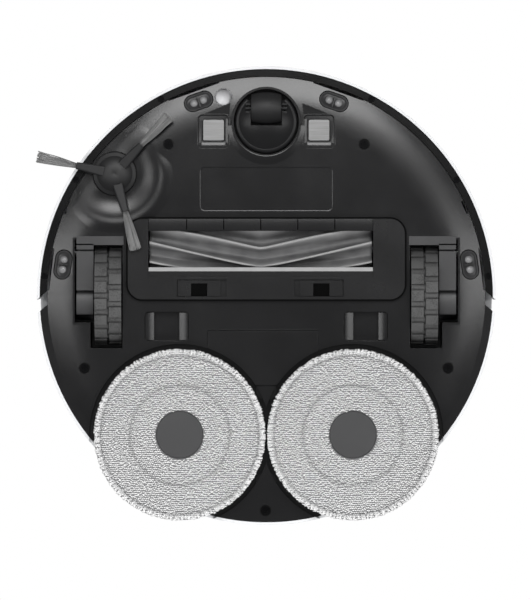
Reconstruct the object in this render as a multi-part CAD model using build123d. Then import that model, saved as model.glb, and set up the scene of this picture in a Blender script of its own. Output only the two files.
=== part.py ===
from build123d import *
import math
import os

os.makedirs("parts", exist_ok=True)

# Robot vacuum with two turning mop pads, standing on its wheels.
# Millimetres. +Z up, +Y forward, +X the robot's right. Origin on the floor under the middle.

# Whole body
BODY_R = 175.0            # outside of the white skin
BELLY_Z = 12.0            # flat belly above the floor
FLOOR_T = 3.0             # chassis floor
WALL_T = 1.5              # thin inner walls
FLAT_R = 136.0            # radius where the belly starts to curve up
EDGE_RISE = 3.5           # how far the belly rises at its edge
EDGE_T = 2.0              # chassis floor at its edge
DECK_T = 3.0
COVER_T = 3.0
SEAM = 0.4                # gap between neighbouring shells
RUN_FIT = 0.06            # radial clearance of a turning or sliding fit
LOOSE_FIT = 0.2           # gap round an inserted piece

# Bumper and skin
SKIN_T = 2.0
BUMPER_W = 8.0            # bumper seen from below, chassis edge to skin outside
BUMPER_TRAVEL = 4.0
BUMPER_RING_T = 2.5
BUMPER_SCREW_ANGLES = (28.2, 58.7, 85.0)
RIM_SLOTS = ((19.5, 7.0), (66.0, 1.8), (83.0, 5.5))   # middle and half width of each, degrees from +Y
NOTCH_FRONT_Y = 3.8       # bumper end at the chassis edge
NOTCH_REAR_Y = -6.8       # rear shell end at the chassis edge
NOTCH_SLANT = 0.85        # slope of both ends of the notch
TONGUE_W = 12.0           # guide tongues of the bumper
TONGUE_T = 3.0
TONGUE_X = 84.0
TONGUE_Z = 40.0
SWITCH_ANGLE = 45.0       # contact switches behind the wall
WINDOW_HALF_ANGLE = 34.0  # dark sensor window in the bumper
WINDOW_Z0 = 46.0
WINDOW_Z1 = 66.0

# Drive wheels
WHEEL_R = 37.8
WHEEL_W = 20.4
WHEEL_INSET = 46.2        # middle of the tyre behind the chassis edge
TYRE_T = 5.0
TREAD_H = 1.6
TREAD_BLOCKS = 36
WHEEL_AXLE_R = 4.0
ARM_T = 13.0              # gearbox arm beside the wheel
ARM_GAP = 1.2
ARM_PIVOT_DROP = 3.8      # pivot below the wheel's axle
ARM_PIVOT_R = 3.0
ARM_NOSE_R = 8.0
ARM_NOSE_GAP = 1.8        # nose behind the front of the well
ARM_BULGE_R = 18.5
WELL_GAP = 1.0            # beside the wheel and the arm
WELL_FRONT_GAP = 5.0      # ahead of the tyre
WELL_REAR_GAP = 2.4
WELL_STEP_Y = -20.5       # the well is narrower behind this line

# Front caster
CASTER_INSET = 34.3       # swivel axis behind the chassis edge
CASTER_TRAIL = 10.3       # wheel axle ahead of the swivel axis
CASTER_R = 12.4
CASTER_END_R = 10.4
CASTER_W = 23.0
CASTER_DOME_R = 21.0
CASTER_HOLE_R = 24.9
CASTER_DOME_Z = 6.0
CASTER_AXLE_R = 2.0
CASTER_STEM_R = 4.0
CASTER_STEM_L = 15.0
CASTER_ROOF_T = 5.0

# Main brush, tunnel and guard
BRUSH_Y = 35.4
BRUSH_Z = 27.0
BRUSH_R = 20.0
BRUSH_LEFT_END = 25.7     # ends of the rubber inside the guard's ends
BRUSH_RIGHT_END = 17.2
BRUSH_APEX_X = 4.2
BRUSH_CORE_R = 8.0
BRUSH_SLEEVE_R = 11.5
BRUSH_STUB_R = 4.0
FIN_COUNT = 8
FIN_TWIST = 58.0          # turn of each fin from its end to the middle
FIN_ROOT_T = 3.0
FIN_TIP_T = 1.4
FIN_STEPS = 6
TUNNEL_GAP = 2.0
GUARD_SIDE_GAP = 3.4      # guard beside the wheel wells
GUARD_Y0 = -3.4
GUARD_Y1 = 59.2
GUARD_R = 12.0
GUARD_T = 3.8
GUARD_DROP = 3.4          # how far the guard stands below the belly
GUARD_FIT = 0.6
MOUTH_END_GAP = 1.0       # mouth past the ends of the rubber
MOUTH_Y0 = 21.6
MOUTH_Y1 = 49.4
STRIP_SLIT_PITCH = 28.6
STRIP_SLIT_W = 2.0
STRIP_SLIT_L = 6.0
STRIP_SLITS = 6
SCRAPER_W = 3.0
SCRAPER_T = 2.2
STEP_Y = 14.1             # guard step behind the scraper
STEP_T = 1.4
LATCH_L = 33.5
LATCH_W = 13.0
LATCH_T = 2.2
LATCH_Y = 5.6
LATCH_CENTERS = (51.2, -42.0)
LATCH_TRAVEL = 4.0
LATCH_NOTCH_L = 12.6
LATCH_NOTCH_W = 5.0
GUARD_MARKS = (77.9, 23.7, -14.5, -69.1)
MARK_L = 8.3
MARK_W = 5.2
MARK_T = 0.8

# Gear drive of the main brush
GEAR_MODULE = 1.5
GEAR_TEETH = 18
PINION_TEETH = 10
GEAR_W = 6.0
GEAR_END = 5.7            # outer face of the gear inside the guard's end
PINION_ANGLE = 135.0      # from the brush axis, 90 is straight up, 180 is to the rear
BRUSH_MOTOR_R = 13.0
BRUSH_MOTOR_L = 8.0
MOTOR_SHAFT_R = 1.6

# Side brush
SIDE_INSET = 18.6         # axis behind the chassis edge
SIDE_ANGLE = 38.8         # from +X
SIDE_DOME_R = 13.6
SIDE_RING_R = 16.2
SIDE_SHAFT_R = 3.0
SIDE_HUB_Z = 7.0
SLEEVE_R = 29.7
SLEEVE_W0 = 8.4
SLEEVE_W1 = 5.4
TUFT_R = 60.0
TUFT_W0 = 4.0
TUFT_W1 = 8.6
TUFT_ANGLES = (12.0, 133.0, 254.0)
STRAND_COLUMNS = 21
STRAND_ROWS = 5
STRAND_T0 = 0.15
STRAND_T1 = 0.2
ROW_PITCH = 0.32
TUFT_Z0 = 5.4
TUFT_Z1 = 2.8
BACKING_T = 1.0
BOWL_R = 33.0
BOWL_TOP_R = 27.0
BOWL_DEPTH = 4.5

# Mop pads and their lift
MOP_X = 66.0
MOP_Y = -106.0
PAD_R = 65.6
PAD_T = 7.0
PAD_STITCH_R = 38.0
PAD_RIM_STITCH_R = 60.5
PAD_GROOVE = 1.0
MOP_CAP_R = 17.9
MOP_PLATE_R = 61.0
MOP_PLATE_T = 3.2
MOP_SHAFT_R = 5.0
MOP_BOSS_R = 13.0
MOP_LIFT = 9.0
SCOOP_GAP = 3.4           # scoop wall outside the pad
SCOOP_T = 2.0
POST_R = 4.0
POST_YS = (-72.0, -142.0)
CARRIAGE_T = 4.0
BUSH_WALL = 4.0
BUSH_L = 20.0

# Belly details
CONTACT_X = 40.2
CONTACT_INSET = 40.7      # middle behind the chassis edge
CONTACT_SIZE = 15.8
BEZEL_W = 23.2
BEZEL_R = 3.5
BEZEL_PROUD = 0.8
CLIFF_INSET = 10.0
CLIFF_ANGLES = (19.2, -19.2, 81.3, -81.3)   # from +Y towards +X
CLIFF_L = 22.6
CLIFF_W = 12.8
CLIFF_LENS_R = 2.9
CLIFF_LENS_PITCH = 7.4
CARPET_INSET = 12.1       # middle behind the chassis edge
CARPET_GAP = 1.4          # beside the first cliff sensor
CARPET_R = 6.6
LABEL_W = 101.0
LABEL_H = 33.2
LABEL_Y = 81.4
LABEL_T = 0.4            # shallow bare panel where a label would go
LABEL_R = 3.5
SCREW_PLACES = ((29.6, 32.9), (29.6, -32.9), (17.7, 111.8), (17.7, -111.8), (3.0, 179.8))   # inset, degrees
SCREW_HOLE_R = 4.3
SCREW_HEAD_R = 3.4
SCREW_SHANK_R = 1.5
HEAD_RATIO = 0.7          # a screw head's height over its radius
POCKET_X = 76.0
POCKET_Y = -23.4
POCKET_L = 33.8
POCKET_W = 22.2
POCKET_DEPTH = 8.0
POCKET_R = 3.0
PANEL_X = 2.5             # raised panel between the mop pads
PANEL_W = 85.0
PANEL_Y0 = -69.0
PANEL_Y1 = -26.0
PANEL_T = 1.2

# Inside
BATTERY_L = 110.0
BATTERY_H = 35.0
BATTERY_GUARD_GAP = 5.8   # behind the battery
BATTERY_CASTER_GAP = 3.3  # ahead of the battery
BOARD_L = 144.0
BOARD_T = 1.6
BOARD_BIN_GAP = 3.0       # behind the board
BOARD_INSET = 29.2        # front edge behind the front wall
BOARD_Z = 60.0
BOARD_POST_R = 3.5
CHIPS = ((-40, 10, 18, 18), (-8, -6, 26, 20), (30, 12, 14, 14), (52, -18, 20, 10))   # x, y, length, width
BIN_LEFT_END = 4.5        # ends of the bin inside the mouth's ends
BIN_RIGHT_END = 6.0
BIN_Y0 = 3.0
BIN_Y1 = 62.0
BIN_T = 2.0
PORT_L = 60.0             # suction port from tunnel to bin
PORT_W = 18.0
TANK_FRONT_Y = -75.0
TANK_INSET = 24.0         # rear wall ahead of the skin
TANK_H = 15.0
TANK_CORNER_R = 12.0
TANK_GAP = 0.82           # rear corners inside the skin
FILLER_R = 8.0
BLOWER_SIDE_GAP = 13.6    # beside the left wheel well
BLOWER_Y = -33.0
BLOWER_R = 26.0
BLOWER_H = 27.0
IMPELLER_R = 21.0
IMPELLER_H = 9.0
BLADE_COUNT = 9
PUMP = (30.0, 20.0, 20.0)
PUMP_X = 76.0
PUMP_Y = -52.0

# Turret, cover and button
TURRET_Y = -35.0
TURRET_R = 45.5
TURRET_BASE_H = 6.0
ROTOR_R = 34.0
ROTOR_H = 8.6
TURRET_GAP = 1.2
CAP_T = 3.4
CAP_POSTS = 4
CAP_POST_R = 2.2
ROTOR_SHAFT_R = 4.0
BUTTON_R = 9.0
BUTTON_INSET = 47.0       # middle behind the chassis edge
BUTTON_TRAVEL = 1.0
BUTTON_STEM_R = 5.0

# Worked out from the sizes above
EDGE_R = BODY_R - BUMPER_W
SHELL_IN_R = BODY_R - SKIN_T
FLOOR_Z = BELLY_Z + FLOOR_T
EDGE_Z = BELLY_Z + EDGE_RISE
RING_Z = EDGE_Z + EDGE_T + SEAM
WALL_R = EDGE_R - BUMPER_TRAVEL - 2 * SEAM
WELL_TOP = 2 * WHEEL_R + WELL_GAP
DECK_Z = WELL_TOP + WALL_T + SEAM
SKIN_TOP = DECK_Z + DECK_T - SEAM
COVER_Z = DECK_Z + DECK_T + SEAM
LIP_R0 = EDGE_R + SEAM
SCOOP_R = PAD_R + SCOOP_GAP
MOP_PLATE_Z = PAD_T
SCOOP_Z = MOP_PLATE_Z + MOP_PLATE_T + MOP_LIFT + 2 * SEAM
SCOOP_TOP = SCOOP_Z + SCOOP_T
BLOWER_Z = SCOOP_TOP
CASTER_Y = EDGE_R - CASTER_INSET
CONTACT_Y = EDGE_R - CONTACT_INSET
BUTTON_Y = EDGE_R - BUTTON_INSET
CASTER_AXLE_Y = CASTER_Y + CASTER_TRAIL
CASTER_TOP = 2 * CASTER_R + SEAM + CASTER_ROOF_T
SIDE_X = (EDGE_R - SIDE_INSET) * math.cos(math.radians(SIDE_ANGLE))
SIDE_Y = (EDGE_R - SIDE_INSET) * math.sin(math.radians(SIDE_ANGLE))
BOWL_Z = BELLY_Z + BOWL_DEPTH
GUARD_Z = BELLY_Z - GUARD_DROP
GUARD_TOP = GUARD_Z + GUARD_T
TUNNEL_R = BRUSH_R + TUNNEL_GAP
TUNNEL_FLANGE_TOP = FLOOR_Z + WALL_T
TUNNEL_TOP = BRUSH_Z + TUNNEL_R + WALL_T
BIN_Z = TUNNEL_TOP + SEAM
BIN_TOP = DECK_Z + DECK_T - SEAM
WHEEL_X = EDGE_R - WHEEL_INSET
WHEEL_IN_X = WHEEL_X - WHEEL_W / 2
WHEEL_OUT_X = WHEEL_X + WHEEL_W / 2
WELL_X0 = WHEEL_IN_X - WELL_GAP
GUARD_X = WELL_X0 - GUARD_SIDE_GAP
BRUSH_X0 = BRUSH_LEFT_END - GUARD_X
BRUSH_X1 = GUARD_X - BRUSH_RIGHT_END
MOUTH_X0 = BRUSH_X0 - MOUTH_END_GAP
MOUTH_X1 = BRUSH_X1 + MOUTH_END_GAP
GEAR_X = GEAR_END - GUARD_X
GEAR_DISTANCE = GEAR_MODULE * (GEAR_TEETH + PINION_TEETH) / 2
PINION_Y = BRUSH_Y + GEAR_DISTANCE * math.cos(math.radians(PINION_ANGLE))
PINION_Z = BRUSH_Z + GEAR_DISTANCE * math.sin(math.radians(PINION_ANGLE))
ARM_X0 = WHEEL_OUT_X + ARM_GAP
ARM_X1 = ARM_X0 + ARM_T
WELL_X1 = ARM_X1 + WELL_GAP
WELL_NARROW_X1 = WHEEL_OUT_X + 2 * WELL_GAP + ARM_GAP
WELL_Y0 = -WHEEL_R - WELL_REAR_GAP
WELL_Y1 = WHEEL_R + WELL_FRONT_GAP
ARM_PIVOT_Y = WELL_Y1 - ARM_NOSE_R - ARM_NOSE_GAP
ARM_PIVOT_Z = WHEEL_R - ARM_PIVOT_DROP
POST_SHOULDER_Z = SCOOP_TOP + SCOOP_T
CARRIAGE_Z = POST_SHOULDER_Z + CARRIAGE_T
BUSH_TOP = POST_SHOULDER_Z + BUSH_L
BATTERY_Y0 = GUARD_Y1 + BATTERY_GUARD_GAP
BATTERY_Y1 = CASTER_Y - CASTER_HOLE_R - WALL_T - BATTERY_CASTER_GAP
BOARD_Y0 = BIN_Y1 + BOARD_BIN_GAP
BOARD_Y1 = WALL_R - BOARD_INSET
BOARD_Y = (BOARD_Y0 + BOARD_Y1) / 2
BIN_X0 = MOUTH_X0 + BIN_LEFT_END
BIN_X1 = MOUTH_X1 - BIN_RIGHT_END
TANK_REAR_Y = TANK_INSET - SHELL_IN_R
TANK_Y = (TANK_FRONT_Y + TANK_REAR_Y) / 2
TANK_HALF_L = TANK_CORNER_R + math.sqrt((SHELL_IN_R - TANK_GAP - TANK_CORNER_R) ** 2
                                        - (TANK_REAR_Y + TANK_CORNER_R) ** 2)
FILLER_X = TANK_HALF_L * 2 / 3
BLOWER_X = BLOWER_R + BLOWER_SIDE_GAP - WELL_X0


# Helpers: simple solids placed by their limits

def block(x0, x1, y0, y1, z0, z1):
    return Pos((x0 + x1) / 2, (y0 + y1) / 2, (z0 + z1) / 2) * Box(x1 - x0, y1 - y0, z1 - z0)


def disc(r, z0, z1, x=0.0, y=0.0):
    return Pos(x, y, (z0 + z1) / 2) * Cylinder(r, z1 - z0)


def ring(r_out, r_in, z0, z1, x=0.0, y=0.0):
    return disc(r_out, z0, z1, x, y) - disc(r_in, z0, z1, x, y)


def rod_x(r, x0, x1, y, z):
    return Pos((x0 + x1) / 2, y, z) * Rot(0, 90, 0) * Cylinder(r, x1 - x0)


def plate(width, depth, corner, z0, z1, x=0.0, y=0.0):
    return Pos(x, y, z0) * extrude(RectangleRounded(width, depth, corner), z1 - z0)


def prism(points, z0, z1):
    return Pos(0, 0, z0) * extrude(make_face(Polyline(*points, close=True)), z1 - z0)


def turned(outline):
    """A solid of revolution about Z from a closed outline of (radius, height)."""
    return revolve(make_face(Plane.XZ * outline), Axis.Z)


def both_sides(solid):
    return [solid, mirror(solid, Plane.YZ)]


def around(radius, angle):
    """A point at an angle from +Y towards +X."""
    return radius * math.sin(math.radians(angle)), radius * math.cos(math.radians(angle))


CARPET_ANGLE = CLIFF_ANGLES[0] - math.degrees((CLIFF_L / 2 + CARPET_R + CARPET_GAP) / (EDGE_R - CLIFF_INSET))
CARPET_X, CARPET_Y = around(EDGE_R - CARPET_INSET, CARPET_ANGLE)
SCREW_SITES = [around(EDGE_R - inset, angle) for inset, angle in SCREW_PLACES]


def save(name, *solids):
    shape = solids[0] if len(solids) == 1 else Compound(children=list(solids))
    export_step(shape, f"parts/{name}.step")


def screw(x, y, z, head_r, length):
    """A cross-head screw whose head starts at height z and whose shank points up."""
    head_h = head_r * HEAD_RATIO
    slot = head_r * 0.3
    head = disc(head_r, z, z + head_h, x, y)
    for width, depth in ((head_r * 1.3, slot), (slot, head_r * 1.3)):
        head -= block(x - width / 2, x + width / 2, y - depth / 2, y + depth / 2, z, z + head_h / 2)
    return head + disc(SCREW_SHANK_R, z + head_h, z + length, x, y)


def belly_z(radius):
    """Height of the belly's underside at a radius."""
    if radius <= FLAT_R:
        return BELLY_Z
    run = EDGE_R - FLAT_R
    arc_r = (run ** 2 + EDGE_RISE ** 2) / (2 * EDGE_RISE)
    return BELLY_Z + arc_r - math.sqrt(arc_r ** 2 - (radius - FLAT_R) ** 2)


def zone(inner_y, front):
    """Everything ahead of, or behind, one side of the notch between bumper and rear shell."""
    reach = 2 * BODY_R
    far_y = inner_y - NOTCH_SLANT * (reach - EDGE_R)
    end_y = reach if front else -2 * reach
    points = [(-reach, far_y), (-EDGE_R, inner_y), (EDGE_R, inner_y), (reach, far_y)]
    points += [(reach, end_y), (-reach, end_y)]
    return prism(points, 0, reach)


FRONT_ZONE = zone(NOTCH_FRONT_Y, True)
REAR_ZONE = zone(NOTCH_REAR_Y, False)


def scoops(r, z0, z1):
    return disc(r, z0, z1, MOP_X, MOP_Y) + disc(r, z0, z1, -MOP_X, MOP_Y)


# Chassis tray: the dark floor with its wells, scoops, pockets and front wall

def belly_envelope():
    """The space above the belly, up to the deck, inside the skin."""
    rise = TangentArc((FLAT_R, BELLY_Z), (EDGE_R, EDGE_Z), tangent=(1, 0))
    rest = Polyline((EDGE_R, EDGE_Z), (SHELL_IN_R, EDGE_Z), (SHELL_IN_R, DECK_Z), (0, DECK_Z),
                    (0, BELLY_Z), (FLAT_R, BELLY_Z))
    return turned(rise + rest)


def floor_sheet():
    rise = TangentArc((FLAT_R, BELLY_Z), (EDGE_R, EDGE_Z), tangent=(1, 0))
    top_rise = TangentArc((FLAT_R, FLOOR_Z), (EDGE_R, EDGE_Z + EDGE_T), tangent=(1, 0))
    rim = Polyline((EDGE_R, EDGE_Z), (SHELL_IN_R, EDGE_Z), (SHELL_IN_R, EDGE_Z + EDGE_T),
                   (EDGE_R, EDGE_Z + EDGE_T))
    back = Polyline((FLAT_R, FLOOR_Z), (0, FLOOR_Z), (0, BELLY_Z), (FLAT_R, BELLY_Z))
    sheet = turned(rise + rim + top_rise + back)
    front_rim = ring(2 * BODY_R, EDGE_R, 0, DECK_Z) - REAR_ZONE
    return sheet - front_rim


def well_space(grow=0.0):
    """The L-shaped hollow for the right wheel and its arm."""
    wide = block(WELL_X0 - grow, WELL_X1 + grow, WELL_STEP_Y - grow, WELL_Y1 + grow, 0, WELL_TOP + grow)
    narrow = block(WELL_X0 - grow, WELL_NARROW_X1 + grow, WELL_Y0 - grow, WELL_Y1 + grow, 0, WELL_TOP + grow)
    return wide + narrow


def pocket_space(grow=0.0):
    corner = POCKET_R + grow
    top = BELLY_Z + POCKET_DEPTH + grow
    return plate(POCKET_L + 2 * grow, POCKET_W + 2 * grow, corner, 0, top, POCKET_X, POCKET_Y)


def tub(space, outer):
    """Walls round a hollow, from the belly up."""
    return outer - space - block(-BODY_R, BODY_R, -BODY_R, BODY_R, 0, BELLY_Z)


def cliff_place(angle, z):
    x, y = around(EDGE_R - CLIFF_INSET, angle)
    return Pos(x, y, z) * Rot(0, 0, -angle)


def rim_slots():
    """Dirt slots just inside the bumper."""
    slots = []
    for middle, half in RIM_SLOTS:
        for side in (1, -1):
            x, y = around(EDGE_R, side * middle)
            length = 2 * EDGE_R * math.sin(math.radians(half))
            slots.append(Pos(x, y, EDGE_Z) * Rot(0, 0, -side * middle) * Box(length, 2 * SKIN_T, 4 * EDGE_T))
    return slots


def raised_panel():
    """The U-shaped panel that stands proud between the mop pads."""
    half = PANEL_W / 2
    outline = Polyline((PANEL_X - half, PANEL_Y1 - half), (PANEL_X - half, PANEL_Y1),
                       (PANEL_X + half, PANEL_Y1), (PANEL_X + half, PANEL_Y1 - half))
    bottom = ThreePointArc((PANEL_X + half, PANEL_Y1 - half), (PANEL_X, PANEL_Y0),
                           (PANEL_X - half, PANEL_Y1 - half))
    panel = extrude(make_face(outline + bottom), PANEL_T)
    panel = chamfer(panel.faces().sort_by(Axis.Z)[0].edges(), PANEL_T * 0.8)
    return Pos(0, 0, BELLY_Z - PANEL_T) * panel - scoops(SCOOP_R, 0, SCOOP_Z)


def front_wall():
    wall = ring(WALL_R, WALL_R - FLOOR_T, EDGE_Z + EDGE_T / 2, DECK_Z)
    wall -= block(-BODY_R, BODY_R, -BODY_R, NOTCH_REAR_Y, 0, DECK_Z)
    for side in (1, -1):
        wall += block(*sorted((side * (WALL_R - FLOOR_T), side * (EDGE_R - 1))), NOTCH_REAR_Y - FLOOR_T,
                      NOTCH_REAR_Y, EDGE_Z + EDGE_T / 2, DECK_Z)
        gap = LOOSE_FIT
        wall -= block(side * TONGUE_X - TONGUE_W / 2 - gap, side * TONGUE_X + TONGUE_W / 2 + gap, 0, BODY_R,
                      TONGUE_Z - gap, TONGUE_Z + TONGUE_T + gap)
    return wall


def floor_cuts():
    """Everything that is cut out of the bare floor before walls and tubs are added."""
    cuts = [scoops(SCOOP_R, 0, SCOOP_Z), disc(BOWL_R, 0, BOWL_Z, SIDE_X, SIDE_Y)]
    cuts += both_sides(well_space()) + both_sides(pocket_space())
    cuts.append(disc(CASTER_HOLE_R + WALL_T + LOOSE_FIT, 0, 2 * FLOOR_Z, 0, CASTER_Y))
    opening = BEZEL_W + 2 * LOOSE_FIT
    cuts += both_sides(plate(opening, opening, BEZEL_R + LOOSE_FIT, 0, 2 * FLOOR_Z, CONTACT_X, CONTACT_Y))
    cuts.append(plate(LABEL_W, LABEL_H, LABEL_R, 0, BELLY_Z + LABEL_T, 0, LABEL_Y))
    return cuts + sensor_cuts() + rim_slots()


def guard_opening():
    """The opening that the brush guard fills."""
    width = GUARD_Y1 - GUARD_Y0 + 2 * GUARD_FIT
    middle_y = (GUARD_Y0 + GUARD_Y1) / 2
    return plate(2 * (GUARD_X + GUARD_FIT), width, GUARD_R + GUARD_FIT, 0, FLOOR_Z, 0, middle_y)


def sensor_cuts():
    """Slots for the four cliff sensors and the round hole for the carpet sensor."""
    slot = extrude(SlotOverall(CLIFF_L + 2 * LOOSE_FIT, CLIFF_W + 2 * LOOSE_FIT), 2 * FLOOR_Z)
    cuts = [cliff_place(angle, 0) * slot for angle in CLIFF_ANGLES]
    return cuts + [disc(CARPET_R + LOOSE_FIT, 0, 2 * FLOOR_Z, CARPET_X, CARPET_Y)]


def screw_seat(x, y):
    """Height where a belly screw's head bears."""
    return belly_z(math.hypot(x, y)) + FLOOR_T


def bowl_tub(envelope):
    """Cone-shaped hollow over the side brush, closed above, open at the body's edge."""
    bowl = Pos(SIDE_X, SIDE_Y, BELLY_Z + BOWL_DEPTH / 2) * Cone(BOWL_R, BOWL_TOP_R, BOWL_DEPTH)
    around_bowl = disc(BOWL_R + WALL_T, BELLY_Z, BOWL_Z + WALL_T, SIDE_X, SIDE_Y)
    return (around_bowl - bowl) & envelope & disc(EDGE_R - BUMPER_TRAVEL, 0, DECK_Z)


def tray_posts():
    """Screw bosses, guide posts of the mop carriage and stand-offs of the main board."""
    posts = []
    for x, y in SCREW_SITES:
        seat = screw_seat(x, y)
        posts.append(disc(SCREW_HOLE_R + WALL_T, seat - FLOOR_T / 2, seat + 2 * FLOOR_T, x, y))
    for y in POST_YS:
        posts.append(disc(POST_R, FLOOR_Z - 1, BUSH_TOP + MOP_LIFT, 0, y))
        posts.append(disc(POST_R + BUSH_WALL, FLOOR_Z - 1, POST_SHOULDER_Z, 0, y))
    for x in (1, -1):
        for y in (BOARD_Y0 + BOARD_POST_R, BOARD_Y1 - BOARD_POST_R):
            posts.append(disc(BOARD_POST_R, FLOOR_Z - 1, BOARD_Z, x * (BOARD_L / 2 - BOARD_POST_R), y))
    return posts


def through_holes():
    """What passes through the added walls too: guard opening, wheel wells, shaft, pin and screw holes."""
    holes = [guard_opening(), disc(SIDE_SHAFT_R + 4 * SEAM, 0, 2 * BOWL_Z, SIDE_X, SIDE_Y)]
    holes += both_sides(well_space())
    holes += both_sides(disc(MOP_BOSS_R + 2 * LOOSE_FIT, 0, SCOOP_TOP, MOP_X, MOP_Y))
    pin_end = WELL_X1 + 2 * WALL_T
    holes += both_sides(rod_x(ARM_PIVOT_R + LOOSE_FIT / 4, ARM_X1, pin_end, ARM_PIVOT_Y, ARM_PIVOT_Z))
    for x, y in SCREW_SITES:
        seat = screw_seat(x, y)
        holes.append(disc(SCREW_HOLE_R, 0, seat, x, y))
        holes.append(disc(SCREW_SHANK_R + LOOSE_FIT / 2, seat, seat + 3 * FLOOR_T, x, y))
    return holes


def chassis_tray():
    envelope = belly_envelope()
    floor = floor_sheet() - floor_cuts()
    scoop_tub = tub(scoops(SCOOP_R, 0, SCOOP_Z), scoops(SCOOP_R + SCOOP_T, 0, SCOOP_TOP)) & envelope
    additions = [scoop_tub, bowl_tub(envelope), front_wall() - sensor_cuts(), raised_panel()]
    additions += both_sides(tub(well_space(), well_space(WALL_T)))
    additions += both_sides(tub(pocket_space(), pocket_space(WALL_T)))
    return floor.fuse(*additions, *tray_posts()) - through_holes()


# White rear shell, top deck and lift-off cover

def rear_shell():
    shell = ring(BODY_R, SHELL_IN_R, EDGE_Z, SKIN_TOP) & REAR_ZONE
    return shell - scoops(SCOOP_R, 0, SCOOP_TOP)


def top_deck():
    deck = disc(EDGE_R + SEAM, DECK_Z, DECK_Z + DECK_T)
    deck += disc(SHELL_IN_R, DECK_Z, DECK_Z + DECK_T) & REAR_ZONE
    fit = SEAM
    deck -= block(BIN_X0 - fit, BIN_X1 + fit, BIN_Y0 - fit, BIN_Y1 + fit, DECK_Z, DECK_Z + DECK_T)
    deck -= disc(ROTOR_SHAFT_R * 2, DECK_Z, DECK_Z + DECK_T, 0, TURRET_Y)
    deck -= disc(BUTTON_STEM_R + RUN_FIT, DECK_Z, DECK_Z + DECK_T, 0, BUTTON_Y)
    return deck - disc(FILLER_R + SEAM, DECK_Z, DECK_Z + DECK_T, FILLER_X, TANK_Y)


def top_cover():
    top = COVER_Z + COVER_T
    edge = BODY_R - SKIN_T / 2
    crown = COVER_T * 0.7
    outline = Polyline((0, top), (0, COVER_Z), (edge, COVER_Z), (edge, top - crown))
    shoulder = TangentArc((edge - crown * 2, top), (edge, top - crown), tangent=(1, 0))
    cover = turned(outline + shoulder + Line((edge - crown * 2, top), (0, top)))
    cover -= disc(TURRET_R + 4 * SEAM, 0, 2 * top, 0, TURRET_Y)
    return cover - disc(BUTTON_R + SEAM, 0, 2 * top, 0, BUTTON_Y)


# Bumper: white skin, dark lower ring, sensor window and screws

def front_arc(r_out, r_in, half_angle, z0, z1):
    reach = 2 * BODY_R
    wedge = [(0, 0)]
    for angle in (-half_angle, 0, half_angle):
        wedge.append(around(reach, angle))
    return ring(r_out, r_in, z0, z1) & prism(wedge, z0, z1)


def screw_radius():
    return (LIP_R0 + SHELL_IN_R) / 2


def bumper_head():
    return (screw_radius() - LIP_R0) * 0.9


def bumper_sites():
    return [around(screw_radius(), side * angle) for angle in BUMPER_SCREW_ANGLES for side in (1, -1)]


def bumper_skin():
    skin = ring(BODY_R, SHELL_IN_R, EDGE_Z, SKIN_TOP) & FRONT_ZONE
    skin -= front_arc(2 * BODY_R, SHELL_IN_R - 1, WINDOW_HALF_ANGLE, WINDOW_Z0, WINDOW_Z1)
    lug_z = RING_Z + BUMPER_RING_T
    lug_r = (SHELL_IN_R - LIP_R0) / 2
    lugs = []
    for x, y in bumper_sites():
        reach = (screw_radius() + lug_r + SKIN_T / 2) / screw_radius()
        angle = math.degrees(math.atan2(x, y))
        web = Pos(x * (1 + reach) / 2, y * (1 + reach) / 2, lug_z + lug_r) * Rot(0, 0, -angle)
        lug = disc(lug_r, lug_z, lug_z + 2 * lug_r, x, y)
        lug += web * Box(lug_r, (reach - 1) * screw_radius(), 2 * lug_r)
        lugs.append(lug - disc(SCREW_SHANK_R + LOOSE_FIT / 4, lug_z, lug_z + 3 * lug_r, x, y))
    for side in (1, -1):
        x = side * TONGUE_X
        end_y = math.sqrt((SHELL_IN_R + SKIN_T / 2) ** 2 - (TONGUE_X + TONGUE_W / 2) ** 2)
        start_y = math.sqrt(WALL_R ** 2 - (TONGUE_X - TONGUE_W / 2) ** 2) - 2 * BUMPER_TRAVEL
        lugs.append(block(x - TONGUE_W / 2, x + TONGUE_W / 2, start_y, end_y, TONGUE_Z, TONGUE_Z + TONGUE_T))
    return skin.fuse(*lugs)


def bumper_lower_ring():
    lip = ring(SHELL_IN_R - SEAM / 4, LIP_R0, RING_Z, RING_Z + BUMPER_RING_T) & FRONT_ZONE
    for x, y in bumper_sites():
        lip -= disc(bumper_head() + LOOSE_FIT / 2, 0, RING_Z + HEAD_RATIO * bumper_head(), x, y)
        lip -= disc(SCREW_SHANK_R + LOOSE_FIT / 4, 0, RING_Z + 2 * BUMPER_RING_T, x, y)
    return lip


def bumper_screws():
    """Screws whose heads sit flush in the lip, clear of the chassis rim when the bumper is pressed."""
    return [screw(x, y, RING_Z, bumper_head(), 3 * BUMPER_RING_T) for x, y in bumper_sites()]


def bumper_window():
    fit = SEAM / 4
    angle = WINDOW_HALF_ANGLE - math.degrees(fit / BODY_R)
    return front_arc(BODY_R - fit, SHELL_IN_R + fit, angle, WINDOW_Z0 + fit, WINDOW_Z1 - fit)


def bumper_switches():
    """Two contact switches on the inside of the front wall."""
    switches = []
    for side in (1, -1):
        x, y = around(WALL_R - FLOOR_T, side * SWITCH_ANGLE)
        body = Pos(x, y, TONGUE_Z) * Rot(0, 0, -side * SWITCH_ANGLE) * Pos(0, -BUMPER_TRAVEL - SEAM, 0)
        switches.append(body * Box(3 * BUMPER_TRAVEL, 2 * BUMPER_TRAVEL, TONGUE_W))
    return switches


# Drive wheels and their sprung gearbox arms, built on the right side

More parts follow.
